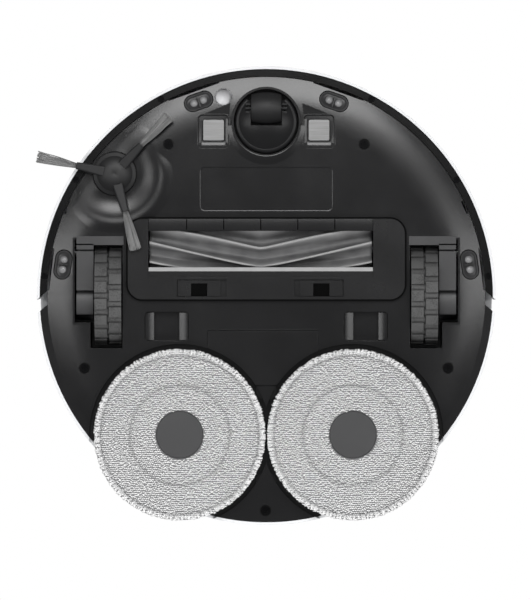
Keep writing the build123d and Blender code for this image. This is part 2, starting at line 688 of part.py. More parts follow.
def wheel_tyre():
    inner = WHEEL_R - TYRE_T
    core_r = WHEEL_R - TREAD_H
    tyre = rod_x(core_r, WHEEL_IN_X, WHEEL_OUT_X, 0, WHEEL_R)
    pitch = 360.0 / (TREAD_BLOCKS / 2)
    block_l = math.radians(pitch) * WHEEL_R * 0.62
    column = WHEEL_W * 0.46
    blocks = []
    for row in range(2):
        x = WHEEL_IN_X + column / 2 if row == 0 else WHEEL_OUT_X - column / 2
        for i in range(TREAD_BLOCKS // 2):
            turn = Pos(x, 0, WHEEL_R) * Rot(pitch * (i + row / 2), 0, 0)
            blocks.append(turn * Pos(0, 0, WHEEL_R - TREAD_H) * Box(column, block_l, 2 * TREAD_H))
    tyre = tyre.fuse(*blocks) & rod_x(WHEEL_R, WHEEL_IN_X, WHEEL_OUT_X, 0, WHEEL_R)
    return tyre - rod_x(inner, WHEEL_IN_X, WHEEL_OUT_X, 0, WHEEL_R)


def wheel_hub():
    rim_r = WHEEL_R - TYRE_T - SEAM / 4
    hub = rod_x(rim_r, WHEEL_IN_X, WHEEL_OUT_X, 0, WHEEL_R)
    hub -= rod_x(rim_r - 2 * WALL_T, WHEEL_IN_X, WHEEL_IN_X + 2 * WALL_T, 0, WHEEL_R)
    hub += rod_x(2 * WHEEL_AXLE_R, WHEEL_IN_X, WHEEL_IN_X + 2 * WALL_T, 0, WHEEL_R)
    for i in range(6):
        spoke = Pos(0, 0, WHEEL_R) * Rot(60 * i, 0, 0) * Pos(0, 0, rim_r / 2)
        hub += spoke * Pos(WHEEL_IN_X + WALL_T, 0, 0) * Box(2 * WALL_T, 2 * WALL_T, rim_r - WALL_T)
    return hub - rod_x(WHEEL_AXLE_R + RUN_FIT, WHEEL_IN_X, WHEEL_OUT_X, 0, WHEEL_R)


def wheel_arm():
    """Gearbox arm with its axle: nose round the pivot, bulge round the axle."""
    nose = Pos(ARM_PIVOT_Y, ARM_PIVOT_Z) * Circle(ARM_NOSE_R)
    bulge = Pos(0, WHEEL_R) * Circle(ARM_BULGE_R)
    side = make_hull(nose.edges() + bulge.edges())
    arm = Pos(ARM_X0, 0, 0) * extrude(Plane.YZ * side, ARM_T)
    arm = fillet(arm.faces().sort_by(Axis.X)[-1].edges(), WALL_T)
    arm += rod_x(WHEEL_AXLE_R, WHEEL_IN_X, ARM_X0 + WALL_T, 0, WHEEL_R)
    return arm - rod_x(ARM_PIVOT_R + RUN_FIT, ARM_X0, ARM_X1, ARM_PIVOT_Y, ARM_PIVOT_Z)


def arm_pivot_pin():
    return rod_x(ARM_PIVOT_R, ARM_X0, WELL_X1 + WALL_T, ARM_PIVOT_Y, ARM_PIVOT_Z)


# Front caster: socket, swivel fork, axle and barrel-shaped roller

def caster_socket():
    top = CASTER_TOP + SEAM
    cup = disc(CASTER_HOLE_R + WALL_T, BELLY_Z, top + FLOOR_T, 0, CASTER_Y)
    cup -= disc(CASTER_HOLE_R, 0, top, 0, CASTER_Y)
    cup += disc(2 * CASTER_STEM_R, top, top + CASTER_STEM_L, 0, CASTER_Y)
    return cup - disc(CASTER_STEM_R + RUN_FIT, 0, 2 * top, 0, CASTER_Y)


def caster_fork():
    side_z = BELLY_Z - SEAM
    dome = Polyline((0, CASTER_TOP), (0, CASTER_DOME_Z))
    bottom = ThreePointArc((0, CASTER_DOME_Z), (CASTER_DOME_R * 0.72, (CASTER_DOME_Z + side_z) / 2 - SEAM),
                           (CASTER_DOME_R, side_z))
    side = Polyline((CASTER_DOME_R, side_z), (CASTER_DOME_R, CASTER_TOP), (0, CASTER_TOP))
    fork = Pos(0, CASTER_Y, 0) * turned(dome + bottom + side)
    half = CASTER_W / 2 + SEAM
    rear_y = CASTER_AXLE_Y - CASTER_R - 2 * SEAM
    fork -= block(-half, half, rear_y, CASTER_Y + 2 * CASTER_DOME_R, 0, 2 * CASTER_R + SEAM)
    clip_w = 2 * CASTER_AXLE_R + SEAM
    for side in (1, -1):
        clip = sorted((side * half, side * (half + 2 * CASTER_AXLE_R)))
        fork -= block(*clip, CASTER_AXLE_Y - clip_w / 2, CASTER_AXLE_Y + clip_w / 2, 0, CASTER_R)
    fork -= rod_x(CASTER_AXLE_R + RUN_FIT / 2, -half - 2 * CASTER_AXLE_R, half + 2 * CASTER_AXLE_R,
                  CASTER_AXLE_Y, CASTER_R)
    return fork + disc(CASTER_STEM_R, CASTER_TOP, CASTER_TOP + CASTER_STEM_L, 0, CASTER_Y)


def caster_axle():
    half = CASTER_W / 2 + SEAM + 2 * CASTER_AXLE_R
    return rod_x(CASTER_AXLE_R, -half, half, CASTER_AXLE_Y, CASTER_R)


def caster_wheel():
    half = CASTER_W / 2
    barrel = ThreePointArc((CASTER_END_R, -half), (CASTER_R, 0), (CASTER_END_R, half))
    bore = CASTER_AXLE_R + RUN_FIT
    rest = Polyline((CASTER_END_R, half), (bore, half), (bore, -half), (CASTER_END_R, -half))
    return Pos(0, CASTER_AXLE_Y, CASTER_R) * Rot(0, 90, 0) * turned(barrel + rest)


# Main brush: core, rubber fins, tunnel, bearing and gear drive

def brush_core():
    """Core with a bearing stub at its right end and a moulded gear at its left end."""
    core = rod_x(BRUSH_CORE_R, BRUSH_X0, BRUSH_X1, BRUSH_Y, BRUSH_Z)
    core += rod_x(BRUSH_STUB_R, GEAR_X, BRUSH_X1 + 2 * GEAR_W, BRUSH_Y, BRUSH_Z)
    return core + gear_at(GEAR_TEETH, PINION_ANGLE, BRUSH_Y, BRUSH_Z)


def fin_section(x, turn):
    """One fin's cross-section, standing out from the brush axis at an angle."""
    root = BRUSH_SLEEVE_R - FIN_TIP_T
    outline = Polyline((-FIN_ROOT_T / 2, root), (-FIN_TIP_T / 2, BRUSH_R), (FIN_TIP_T / 2, BRUSH_R),
                       (FIN_ROOT_T / 2, root), close=True)
    section = make_face(Plane.YZ * outline)
    return Pos(x, BRUSH_Y, BRUSH_Z) * Rot(turn, 0, 0) * section


def brush_fins():
    """Rubber sleeve with chevron fins that meet in a V near the middle."""
    sleeve = rod_x(BRUSH_SLEEVE_R, BRUSH_X0, BRUSH_X1, BRUSH_Y, BRUSH_Z)
    sleeve -= rod_x(BRUSH_CORE_R + LOOSE_FIT / 4, BRUSH_X0, BRUSH_X1, BRUSH_Y, BRUSH_Z)
    fins = []
    for i in range(FIN_COUNT):
        for end in (BRUSH_X0, BRUSH_X1):
            sections = []
            for step in range(FIN_STEPS + 1):
                part = step / FIN_STEPS
                x = BRUSH_APEX_X + (end - BRUSH_APEX_X) * part
                sections.append(fin_section(x, 360 * i / FIN_COUNT + FIN_TWIST * part))
            fins.append(loft(sections, ruled=True))
    return sleeve.fuse(*fins)


def brush_tunnel():
    fit = GUARD_FIT
    y0 = GUARD_Y0 - fit - 2 * WALL_T
    y1 = GUARD_Y1 + fit + 2 * WALL_T
    x1 = WELL_X0 - WALL_T - SEAM
    tunnel = block(-x1, x1, y0, y1, FLOOR_Z, TUNNEL_FLANGE_TOP)
    tunnel -= disc(BOWL_R + WALL_T + SEAM, 0, 2 * FLOOR_Z, SIDE_X, SIDE_Y)
    outer = TUNNEL_R + WALL_T
    end = WALL_T
    arch = rod_x(outer, MOUTH_X0 - end, MOUTH_X1 + end, BRUSH_Y, BRUSH_Z)
    arch += block(MOUTH_X0 - end, MOUTH_X1 + end, BRUSH_Y - outer, BRUSH_Y + outer, FLOOR_Z, BRUSH_Z)
    arch -= block(MOUTH_X0 - end, MOUTH_X1 + end, BRUSH_Y - outer, BRUSH_Y + outer, 0, FLOOR_Z)
    tunnel += arch
    tunnel -= rod_x(TUNNEL_R, MOUTH_X0, MOUTH_X1, BRUSH_Y, BRUSH_Z)
    tunnel -= block(MOUTH_X0, MOUTH_X1, BRUSH_Y - TUNNEL_R, BRUSH_Y + TUNNEL_R, 0, BRUSH_Z)
    tunnel -= rod_x(BRUSH_STUB_R + SEAM, -GUARD_X, GUARD_X, BRUSH_Y, BRUSH_Z)
    tunnel -= case_space(0, 0)
    tunnel += brush_bearing()
    middle = (MOUTH_X0 + MOUTH_X1) / 2
    port = block(middle - PORT_L / 2, middle + PORT_L / 2, BRUSH_Y - PORT_W / 2, BRUSH_Y + PORT_W / 2,
                 BRUSH_Z + BRUSH_R, 2 * TUNNEL_TOP)
    return tunnel - port


def case_space(grow, floor_z):
    """The hollow for the gears and the motor at the brush's left end."""
    tip = GEAR_MODULE * (GEAR_TEETH / 2 + 1)
    x0 = -GUARD_X + WALL_T
    x1 = MOUTH_X0 - 3 * WALL_T
    y0 = PINION_Y - BRUSH_MOTOR_R - SEAM
    y1 = BRUSH_Y + tip + SEAM
    z1 = PINION_Z + BRUSH_MOTOR_R + SEAM
    return block(x0 - grow, x1 + grow, y0 - grow, y1 + grow, floor_z, z1 + grow)


def brush_gear_case():
    case = case_space(WALL_T, TUNNEL_FLANGE_TOP) - case_space(0, 0)
    return case - rod_x(BRUSH_STUB_R + RUN_FIT, -GUARD_X, MOUTH_X0, BRUSH_Y, BRUSH_Z)


def brush_bearing():
    """Bearing block on the tunnel that holds the brush's right end."""
    x0 = MOUTH_X1
    half = BRUSH_STUB_R + 2 * BUSH_WALL
    x1 = BRUSH_X1 + 2 * GEAR_W + WALL_T
    bearing = block(x0, x1, BRUSH_Y - half, BRUSH_Y + half, TUNNEL_FLANGE_TOP, BRUSH_Z + half)
    return bearing - rod_x(BRUSH_STUB_R + RUN_FIT, x0, x1 - WALL_T / 2, BRUSH_Y, BRUSH_Z)


def gear_outline(teeth):
    """Straight-flanked teeth, thinned for running clearance, first tooth on the outline's X axis."""
    pitch_r = GEAR_MODULE * teeth / 2
    tip_r = pitch_r + 0.75 * GEAR_MODULE
    root_r = pitch_r - 1.25 * GEAR_MODULE
    half_tip = 0.30 * GEAR_MODULE / tip_r
    half_root = 0.95 * GEAR_MODULE / root_r
    points = []
    for i in range(teeth):
        middle = 2 * math.pi * i / teeth
        tooth = ((root_r, -half_root), (tip_r, -half_tip), (tip_r, half_tip), (root_r, half_root))
        for radius, offset in tooth:
            points.append((radius * math.cos(middle + offset), radius * math.sin(middle + offset)))
    return make_face(Polyline(*points, close=True))


def gear_at(teeth, turn, y, z):
    """A gear on an axis along X. Turn is the first tooth's angle from +Y towards +Z."""
    return Pos(GEAR_X, y, z) * extrude(Plane.YZ * Rot(0, 0, turn) * gear_outline(teeth), GEAR_W)


def brush_pinion():
    gap = PINION_ANGLE + 180 + 180.0 / PINION_TEETH
    pinion = gear_at(PINION_TEETH, gap, PINION_Y, PINION_Z)
    return pinion + rod_x(MOTOR_SHAFT_R, GEAR_X, GEAR_X + 2 * GEAR_W, PINION_Y, PINION_Z)


def brush_motor():
    x0 = GEAR_X + GEAR_W + SEAM
    motor = rod_x(BRUSH_MOTOR_R, x0, x0 + BRUSH_MOTOR_L, PINION_Y, PINION_Z)
    return motor - rod_x(MOTOR_SHAFT_R + RUN_FIT, x0, GEAR_X + 2 * GEAR_W + SEAM, PINION_Y, PINION_Z)


# Brush guard with scraper lip and two sliding latches

def guard_recess(z0, z1, grow):
    """Pockets for the latches, long enough for their travel towards the middle."""
    pockets = []
    for x in LATCH_CENTERS:
        inward = -1 if x > 0 else 1
        ends = sorted((x - inward * (LATCH_L / 2 + grow), x + inward * (LATCH_L / 2 + LATCH_TRAVEL + grow)))
        pockets.append(block(*ends, LATCH_Y - LATCH_W / 2 - grow, LATCH_Y + LATCH_W / 2 + grow, z0, z1))
    return pockets


def brush_guard():
    width = GUARD_Y1 - GUARD_Y0
    middle_y = (GUARD_Y0 + GUARD_Y1) / 2
    guard = plate(2 * GUARD_X, width, GUARD_R, GUARD_Z, GUARD_TOP, 0, middle_y)
    guard = fillet(guard.faces().sort_by(Axis.Z)[0].edges(), GUARD_T * 0.6)
    guard -= block(MOUTH_X0, MOUTH_X1, MOUTH_Y0 - SCRAPER_W, MOUTH_Y1, 0, GUARD_TOP)
    guard -= block(MOUTH_X0, MOUTH_X1, STEP_Y, MOUTH_Y0, 0, GUARD_Z + STEP_T)
    first = (MOUTH_X0 + MOUTH_X1) / 2 - STRIP_SLIT_PITCH * (STRIP_SLITS - 1) / 2
    slit_y = (MOUTH_Y1 + GUARD_Y1) / 2
    for i in range(STRIP_SLITS):
        x = first + STRIP_SLIT_PITCH * i
        guard -= block(x - STRIP_SLIT_W / 2, x + STRIP_SLIT_W / 2, slit_y - STRIP_SLIT_L / 2,
                       slit_y + STRIP_SLIT_L / 2, 0, GUARD_TOP)
    for pocket in guard_recess(0, GUARD_Z + LATCH_T + SEAM, LOOSE_FIT):
        guard -= pocket
    for x in GUARD_MARKS:
        guard -= block(x - MARK_L / 2, x + MARK_L / 2, STEP_Y - MARK_W, STEP_Y + 1, 0, GUARD_Z + MARK_T)
    return guard - latch_slots()


def latch_slots():
    slots = []
    for x in LATCH_CENTERS:
        inward = -1 if x > 0 else 1
        half = LATCH_NOTCH_W / 2 + LOOSE_FIT
        ends = sorted((x - inward * half, x + inward * (half + LATCH_TRAVEL)))
        slots.append(block(*ends, LATCH_Y - half, LATCH_Y + half, 0, GUARD_TOP))
    return slots[0] + slots[1]


def guard_scraper():
    return block(MOUTH_X0 + LOOSE_FIT, MOUTH_X1 - LOOSE_FIT, MOUTH_Y0 - SCRAPER_W, MOUTH_Y0,
                 GUARD_Z + STEP_T / 2, GUARD_Z + STEP_T / 2 + SCRAPER_T)


def guard_latch(x):
    """Sliding latch with a finger notch, and a keeper tongue above the guard."""
    inward = -1 if x > 0 else 1
    latch = block(x - LATCH_L / 2, x + LATCH_L / 2, LATCH_Y - LATCH_W / 2, LATCH_Y + LATCH_W / 2,
                  GUARD_Z, GUARD_Z + LATCH_T)
    notch = plate(LATCH_NOTCH_L, LATCH_NOTCH_W, LATCH_NOTCH_W / 3, 0, GUARD_Z + LATCH_T / 2, x, LATCH_Y)
    half = LATCH_NOTCH_W / 2
    stem = block(x - half, x + half, LATCH_Y - half, LATCH_Y + half, GUARD_Z + LATCH_T, GUARD_TOP + SEAM)
    tongue = block(*sorted((x + inward * half, x - inward * LATCH_L / 3)), LATCH_Y - half, LATCH_Y + half,
                   GUARD_TOP + SEAM, FLOOR_Z - SEAM)
    return latch - notch + stem + tongue


# Side brush: motor, hub, rubber sleeves and bristle tufts

def side_frame(angle):
    return Pos(SIDE_X, SIDE_Y, 0) * Rot(0, 0, angle)


def side_brush_hub():
    ring_z = SIDE_HUB_Z + 1.5 * FLOOR_T
    top = BOWL_Z - SEAM
    dome = ThreePointArc((0, SIDE_HUB_Z), (SIDE_DOME_R * 0.7, SIDE_HUB_Z + 1), (SIDE_DOME_R, ring_z - 1))
    side = Polyline((SIDE_DOME_R, ring_z - 1), (SIDE_RING_R, ring_z), (SIDE_RING_R, top), (0, top),
                    (0, SIDE_HUB_Z))
    hub = Pos(SIDE_X, SIDE_Y, 0) * turned(dome + side)
    hub += disc(SIDE_SHAFT_R, top, BOWL_Z + 5 * FLOOR_T, SIDE_X, SIDE_Y)
    for sleeve in side_brush_sleeves(LOOSE_FIT / 4):
        hub -= sleeve
    return hub


def side_brush_sleeves(grow=0.0):
    """Three tapering rubber arms, plugged into the hub."""
    sleeves = []
    root_r = SIDE_DOME_R * 0.6
    root_z = SIDE_HUB_Z + FLOOR_T
    for angle in TUFT_ANGLES:
        root = Plane(origin=(root_r - grow, 0, root_z), x_dir=(0, 1, 0), z_dir=(1, 0, 0))
        tip = Plane(origin=(SLEEVE_R, 0, TUFT_Z0), x_dir=(0, 1, 0), z_dir=(1, 0, 0))
        height = STRAND_ROWS * ROW_PITCH + WALL_T
        sections = [root * RectangleRounded(SLEEVE_W0 + 2 * grow, height + WALL_T + 2 * grow, WALL_T),
                    tip * RectangleRounded(SLEEVE_W1 + 2 * grow, height + 2 * grow, WALL_T)]
        sleeves.append(side_frame(angle) * loft(sections))
    return sleeves


def strand(row, column):
    """A four-sided bristle along X, from the middle of the backing to the tip of its fan."""
    across = (column + 0.5) / STRAND_COLUMNS - 0.5
    up = (row - (STRAND_ROWS - 1) / 2) * ROW_PITCH
    root = Plane(origin=(BACKING_T / 2, across * TUFT_W0, up), x_dir=(0, 1, 0), z_dir=(1, 0, 0))
    tip = Plane(origin=(TUFT_R - SLEEVE_R, across * TUFT_W1, up), x_dir=(0, 1, 0), z_dir=(1, 0, 0))
    return loft([root * Rectangle(STRAND_T0, STRAND_T0), tip * Rectangle(STRAND_T1, STRAND_T1)], ruled=True)


def side_brush_bristles():
    """Three flat fans of bristles, each fused to a slice of its backing, sloping down to the floor."""
    half = STRAND_ROWS * ROW_PITCH / 2
    backing = block(0, BACKING_T, -TUFT_W0 / 2, TUFT_W0 / 2, -half, half)
    strands = [strand(row, column) for row in range(STRAND_ROWS) for column in range(STRAND_COLUMNS)]
    tuft = backing.fuse(*strands)
    slope = math.degrees(math.atan2(TUFT_Z0 - TUFT_Z1, TUFT_R - SLEEVE_R))
    tuft = Pos(SLEEVE_R + SEAM / 2, 0, TUFT_Z0) * Rot(0, slope, 0) * tuft
    return [side_frame(angle) * tuft for angle in TUFT_ANGLES]


def side_brush_motor():
    """Gear head over the brush, with its motor set in towards the middle."""
    z0 = BOWL_Z + WALL_T
    z1 = z0 + 5 * FLOOR_T
    inward = math.degrees(math.atan2(-SIDE_Y, -SIDE_X))
    half = 3 * SIDE_SHAFT_R
    frame = side_frame(inward)
    head = frame * Pos(half, 0, (z0 + z1) / 2) * Box(4 * half, 2 * half, z1 - z0)
    can = frame * Pos(2 * half, 0, z1 + half) * Cylinder(half, 2 * half)
    return head + can - disc(SIDE_SHAFT_R + RUN_FIT, 0, BOWL_Z + 5 * FLOOR_T + SEAM, SIDE_X, SIDE_Y)


# Mop pads, their holders and the lifting carriage, built on the right side

def mop_pad():
    """Round pad: two crowned rings with sewn channels between them, and a drawn-in rim."""
    hole = MOP_CAP_R + LOOSE_FIT
    half = PAD_T / 2
    inner = ThreePointArc((hole, PAD_GROOVE), ((hole + PAD_STITCH_R) / 2, 0), (PAD_STITCH_R, PAD_GROOVE))
    outer = ThreePointArc((PAD_STITCH_R, PAD_GROOVE), ((PAD_STITCH_R + PAD_RIM_STITCH_R) / 2, 0),
                          (PAD_RIM_STITCH_R, PAD_GROOVE))
    rim = ThreePointArc((PAD_RIM_STITCH_R, PAD_GROOVE), (PAD_R - half * 0.3, half * 0.7), (PAD_R, half * 1.4))
    back = Polyline((PAD_R, half * 1.4), (PAD_R - PAD_GROOVE, PAD_T), (hole, PAD_T), (hole, PAD_GROOVE))
    return Pos(MOP_X, MOP_Y, 0) * turned(inner + outer + rim + back)


def mop_plate():
    """Pad holder: back plate, hub disc that shows through the pad, and boss for the shaft."""
    z1 = MOP_PLATE_Z + MOP_PLATE_T
    hub = disc(MOP_CAP_R, PAD_GROOVE, MOP_PLATE_Z, MOP_X, MOP_Y)
    hub = chamfer(hub.faces().sort_by(Axis.Z)[0].edges(), PAD_GROOVE / 2)
    holder = hub + disc(MOP_PLATE_R, MOP_PLATE_Z, z1, MOP_X, MOP_Y)
    holder += disc(MOP_BOSS_R, z1, z1 + 2 * MOP_PLATE_T, MOP_X, MOP_Y)
    return holder - disc(MOP_SHAFT_R + RUN_FIT / 2, z1, z1 + 3 * MOP_PLATE_T, MOP_X, MOP_Y)


def mop_shaft():
    shaft = disc(MOP_SHAFT_R, MOP_PLATE_Z + MOP_PLATE_T, BUSH_TOP + SEAM, MOP_X, MOP_Y)
    return shaft + disc(MOP_SHAFT_R + BUSH_WALL / 2, BUSH_TOP + SEAM, BUSH_TOP + CARRIAGE_T, MOP_X, MOP_Y)


def carriage_sites():
    """Places of the carriage's bushes with the radius of what runs in each."""
    posts = [(0, y, POST_R) for y in POST_YS]
    return [(MOP_X, MOP_Y, MOP_SHAFT_R), (-MOP_X, MOP_Y, MOP_SHAFT_R)] + posts


def mop_carriage():
    outline = Sketch() + [Pos(x, y) * Circle(r + BUSH_WALL) for x, y, r in carriage_sites()]
    web = Pos(0, 0, CARRIAGE_Z) * extrude(make_hull(outline.edges()), CARRIAGE_T)
    tubes = [disc(r + BUSH_WALL, POST_SHOULDER_Z, BUSH_TOP, x, y) for x, y, r in carriage_sites()]
    carriage = web.fuse(*tubes)
    for x, y, r in carriage_sites():
        carriage -= disc(r + RUN_FIT, 0, 2 * BUSH_TOP, x, y)
    return carriage


def mop_motor():
    return disc(MOP_BOSS_R, CARRIAGE_Z + CARRIAGE_T, BUSH_TOP + CARRIAGE_T, 0, MOP_Y)


def mop_lift_motor():
    return Pos(MOP_BOSS_R * 2, POST_YS[0] + MOP_BOSS_R * 1.3, SCOOP_TOP + MOP_BOSS_R / 2) * Box(
        1.5 * MOP_BOSS_R, MOP_BOSS_R, MOP_BOSS_R)


# Small pieces set into the belly

def charge_bezel():
    """Raised frame round a charging contact, with a low ramp in front."""
    z0 = BELLY_Z - BEZEL_PROUD
    bezel = plate(BEZEL_W, BEZEL_W, BEZEL_R, z0, FLOOR_Z, CONTACT_X, CONTACT_Y)
    bezel = chamfer(bezel.faces().sort_by(Axis.Z)[0].edges(), BEZEL_PROUD * 0.8)
    hole = CONTACT_SIZE + LOOSE_FIT
    return bezel - plate(hole, hole, BEZEL_R / 3, 0, FLOOR_Z - 1, CONTACT_X, CONTACT_Y)


def charge_contact():
    return plate(CONTACT_SIZE, CONTACT_SIZE, BEZEL_R / 3, BELLY_Z - BEZEL_PROUD / 2, FLOOR_Z - 1,
                 CONTACT_X, CONTACT_Y)


def cliff_sensor_housings():
    face_z = belly_z(EDGE_R - CLIFF_INSET) + SEAM
    housings = []
    for angle in CLIFF_ANGLES:
        place = cliff_place(angle, face_z)
        body = extrude(SlotOverall(CLIFF_L, CLIFF_W), 3 * FLOOR_T)
        lens_hole = Cylinder(CLIFF_LENS_R + LOOSE_FIT / 2, 2 * WALL_T)
        for side in (1, -1):
            body -= Pos(side * CLIFF_LENS_PITCH / 2, 0, 0) * lens_hole
        housings.append(place * body)
    return housings


def cliff_sensor_lenses():
    """Clear domed lenses, an emitter and a receiver in each housing."""
    face_z = belly_z(EDGE_R - CLIFF_INSET) + SEAM
    sag = CLIFF_LENS_R * 0.35
    seat = WALL_T
    dome = ThreePointArc((0, seat - sag - SEAM), (CLIFF_LENS_R * 0.55, seat - sag * 0.72 - SEAM),
                         (CLIFF_LENS_R, seat - SEAM))
    rest = Polyline((CLIFF_LENS_R, seat - SEAM), (CLIFF_LENS_R, seat), (0, seat), (0, seat - sag - SEAM))
    lens = turned(dome + rest)
    return [cliff_place(angle, face_z) * Pos(side * CLIFF_LENS_PITCH / 2, 0, 0) * lens
            for angle in CLIFF_ANGLES for side in (1, -1)]


def carpet_sensor():
    z0 = belly_z(math.hypot(CARPET_X, CARPET_Y)) + SEAM
    return disc(CARPET_R, z0, z0 + 3 * FLOOR_T, CARPET_X, CARPET_Y)


def chassis_screws():
    screws = []
    for x, y in SCREW_SITES:
        screws.append(screw(x, y, screw_seat(x, y) - SCREW_HEAD_R * HEAD_RATIO, SCREW_HEAD_R, 3 * FLOOR_T))
    return screws


# Pieces inside the body

def battery_pack():
    half = BATTERY_L / 2
    pack = block(-half, half, BATTERY_Y0, BATTERY_Y1, FLOOR_Z, FLOOR_Z + BATTERY_H)
    return fillet(pack.edges().filter_by(Axis.X), FLOOR_T)


def main_board():
    thick = BOARD_T
    board = block(-BOARD_L / 2, BOARD_L / 2, BOARD_Y0, BOARD_Y1, BOARD_Z, BOARD_Z + thick)
    for x, y, chip_l, chip_w in CHIPS:
        board += block(x - chip_l / 2, x + chip_l / 2, BOARD_Y + y - chip_w / 2, BOARD_Y + y + chip_w / 2,
                       BOARD_Z + thick, BOARD_Z + 2 * thick)
    return board


def dust_bin():
    wall = BIN_T
    box = block(BIN_X0, BIN_X1, BIN_Y0, BIN_Y1, BIN_Z, BIN_TOP)
    box -= block(BIN_X0 + wall, BIN_X1 - wall, BIN_Y0 + wall, BIN_Y1 - wall, BIN_Z + wall, BIN_TOP - wall)
    middle = (MOUTH_X0 + MOUTH_X1) / 2
    return box - block(middle - PORT_L / 2, middle + PORT_L / 2, BRUSH_Y - PORT_W / 2, BRUSH_Y + PORT_W / 2,
                       BIN_Z, BIN_Z + wall)


def water_tank():
    length = 2 * TANK_HALF_L
    width = TANK_FRONT_Y - TANK_REAR_Y
    z1 = DECK_Z - SEAM
    z0 = z1 - TANK_H
    wall = BIN_T
    corner = TANK_CORNER_R
    outer = plate(length, width, corner, z0, z1, 0, TANK_Y)
    inner = plate(length - 2 * wall, width - 2 * wall, corner - wall, z0 + wall, z1 - wall, 0, TANK_Y)
    return outer - inner - disc(FILLER_R, z1 - wall, z1, FILLER_X, TANK_Y)


def water_pump():
    length, width, height = PUMP
    return Pos(PUMP_X, PUMP_Y, SCOOP_TOP + height / 2) * Box(length, width, height)


def blower_housing():
    """Fan case with its motor's stator in the middle."""
    z0 = BLOWER_Z
    wall = BIN_T
    case = disc(BLOWER_R, z0, z0 + BLOWER_H, BLOWER_X, BLOWER_Y)
    case -= disc(BLOWER_R - wall, z0 + wall, z0 + BLOWER_H - wall, BLOWER_X, BLOWER_Y)
    case -= disc(BLOWER_R / 2, z0 + wall, z0 + 2 * BLOWER_H, BLOWER_X, BLOWER_Y)
    case += disc(BLOWER_R / 2, z0, z0 + wall + BLOWER_H / 3, BLOWER_X, BLOWER_Y)
    return case - disc(MOTOR_SHAFT_R + RUN_FIT, z0 + wall, z0 + BLOWER_H, BLOWER_X, BLOWER_Y)


def blower_impeller():
    """Hub disc with curved-back blades, on the motor's shaft."""
    z0 = BLOWER_Z + BIN_T + BLOWER_H / 3 + SEAM
    wheel = disc(IMPELLER_R, z0, z0 + WALL_T)
    wheel += disc(IMPELLER_R / 4, z0, z0 + IMPELLER_H)
    for i in range(BLADE_COUNT):
        blade = Pos(IMPELLER_R * 0.6, 0, z0 + IMPELLER_H / 2) * Rot(0, 0, 35)
        wheel += Rot(0, 0, 360 * i / BLADE_COUNT) * blade * Box(IMPELLER_R * 0.6, WALL_T, IMPELLER_H)
    wheel += disc(MOTOR_SHAFT_R, z0 - BLOWER_H / 4, z0)
    return Pos(BLOWER_X, BLOWER_Y, 0) * wheel


# Distance-sensing turret, and the power button

def lidar_base():
    z0 = DECK_Z + DECK_T
    base = disc(TURRET_R, z0, z0 + TURRET_BASE_H, 0, TURRET_Y)
    base = fillet(base.faces().sort_by(Axis.Z)[-1].edges(), WALL_T)
    return base - disc(ROTOR_SHAFT_R + RUN_FIT, 0, 2 * z0, 0, TURRET_Y)


def rotor_z():
    return DECK_Z + DECK_T + TURRET_BASE_H + TURRET_GAP


def lidar_rotor():
    z0 = rotor_z()
    rotor = disc(ROTOR_R, z0, z0 + ROTOR_H, 0, TURRET_Y)
    rotor += disc(ROTOR_SHAFT_R, DECK_Z, z0, 0, TURRET_Y)
    return rotor


def lidar_cap():
    z0 = rotor_z() + ROTOR_H + TURRET_GAP
    cap = disc(TURRET_R, z0, z0 + CAP_T, 0, TURRET_Y)
    cap = fillet(cap.faces().sort_by(Axis.Z)[-1].edges(), CAP_T * 0.6)
    post_r = TURRET_R - 2 * CAP_POST_R
    for i in range(CAP_POSTS):
        x, y = around(post_r, 45 + 360 * i / CAP_POSTS)
        cap += disc(CAP_POST_R, DECK_Z + DECK_T + TURRET_BASE_H, z0, x, y + TURRET_Y)
    return cap


def power_button():
    z0 = DECK_Z + DECK_T + BUTTON_TRAVEL + SEAM / 2
    z1 = COVER_Z + COVER_T + SEAM
    button = disc(BUTTON_R, z0, z1, 0, BUTTON_Y)
    button = fillet(button.faces().sort_by(Axis.Z)[-1].edges(), SEAM)
    return button + disc(BUTTON_STEM_R, DECK_Z - 2 * BUTTON_TRAVEL, z0, 0, BUTTON_Y)


# Write every piece, one file each

SINGLE_PIECES = {
    "chassis_tray": chassis_tray, "rear_shell": rear_shell, "top_deck": top_deck, "top_cover": top_cover,
    "bumper_skin": bumper_skin, "bumper_lower_ring": bumper_lower_ring, "bumper_window": bumper_window,
    "caster_socket": caster_socket, "caster_fork": caster_fork, "caster_axle": caster_axle,
    "caster_wheel": caster_wheel, "brush_core": brush_core, "brush_fins": brush_fins,
    "brush_tunnel": brush_tunnel, "brush_gear_case": brush_gear_case, "brush_pinion": brush_pinion,
    "brush_motor": brush_motor, "brush_guard": brush_guard, "guard_scraper": guard_scraper,
    "side_brush_hub": side_brush_hub, "side_brush_motor": side_brush_motor, "mop_carriage": mop_carriage,
    "mop_motor": mop_motor, "mop_lift_motor": mop_lift_motor, "carpet_sensor": carpet_sensor,
    "battery_pack": battery_pack, "main_board": main_board, "dust_bin": dust_bin, "water_tank": water_tank,
    "water_pump": water_pump, "blower_housing": blower_housing,
    "blower_impeller": blower_impeller, "lidar_base": lidar_base, "lidar_rotor": lidar_rotor,
    "lidar_cap": lidar_cap, "power_button": power_button,
}
GROUPED_PIECES = {
    "bumper_screws": bumper_screws, "bumper_switches": bumper_switches, "chassis_screws": chassis_screws,
    "cliff_sensor_housings": cliff_sensor_housings, "cliff_sensor_lenses": cliff_sensor_lenses,
    "side_brush_sleeves": side_brush_sleeves, "side_brush_bristles": side_brush_bristles,
}
PAIRED_GROUPS = {
    "arm_pivot_pins": arm_pivot_pin, "charge_bezels": charge_bezel, "charge_contacts": charge_contact,
}
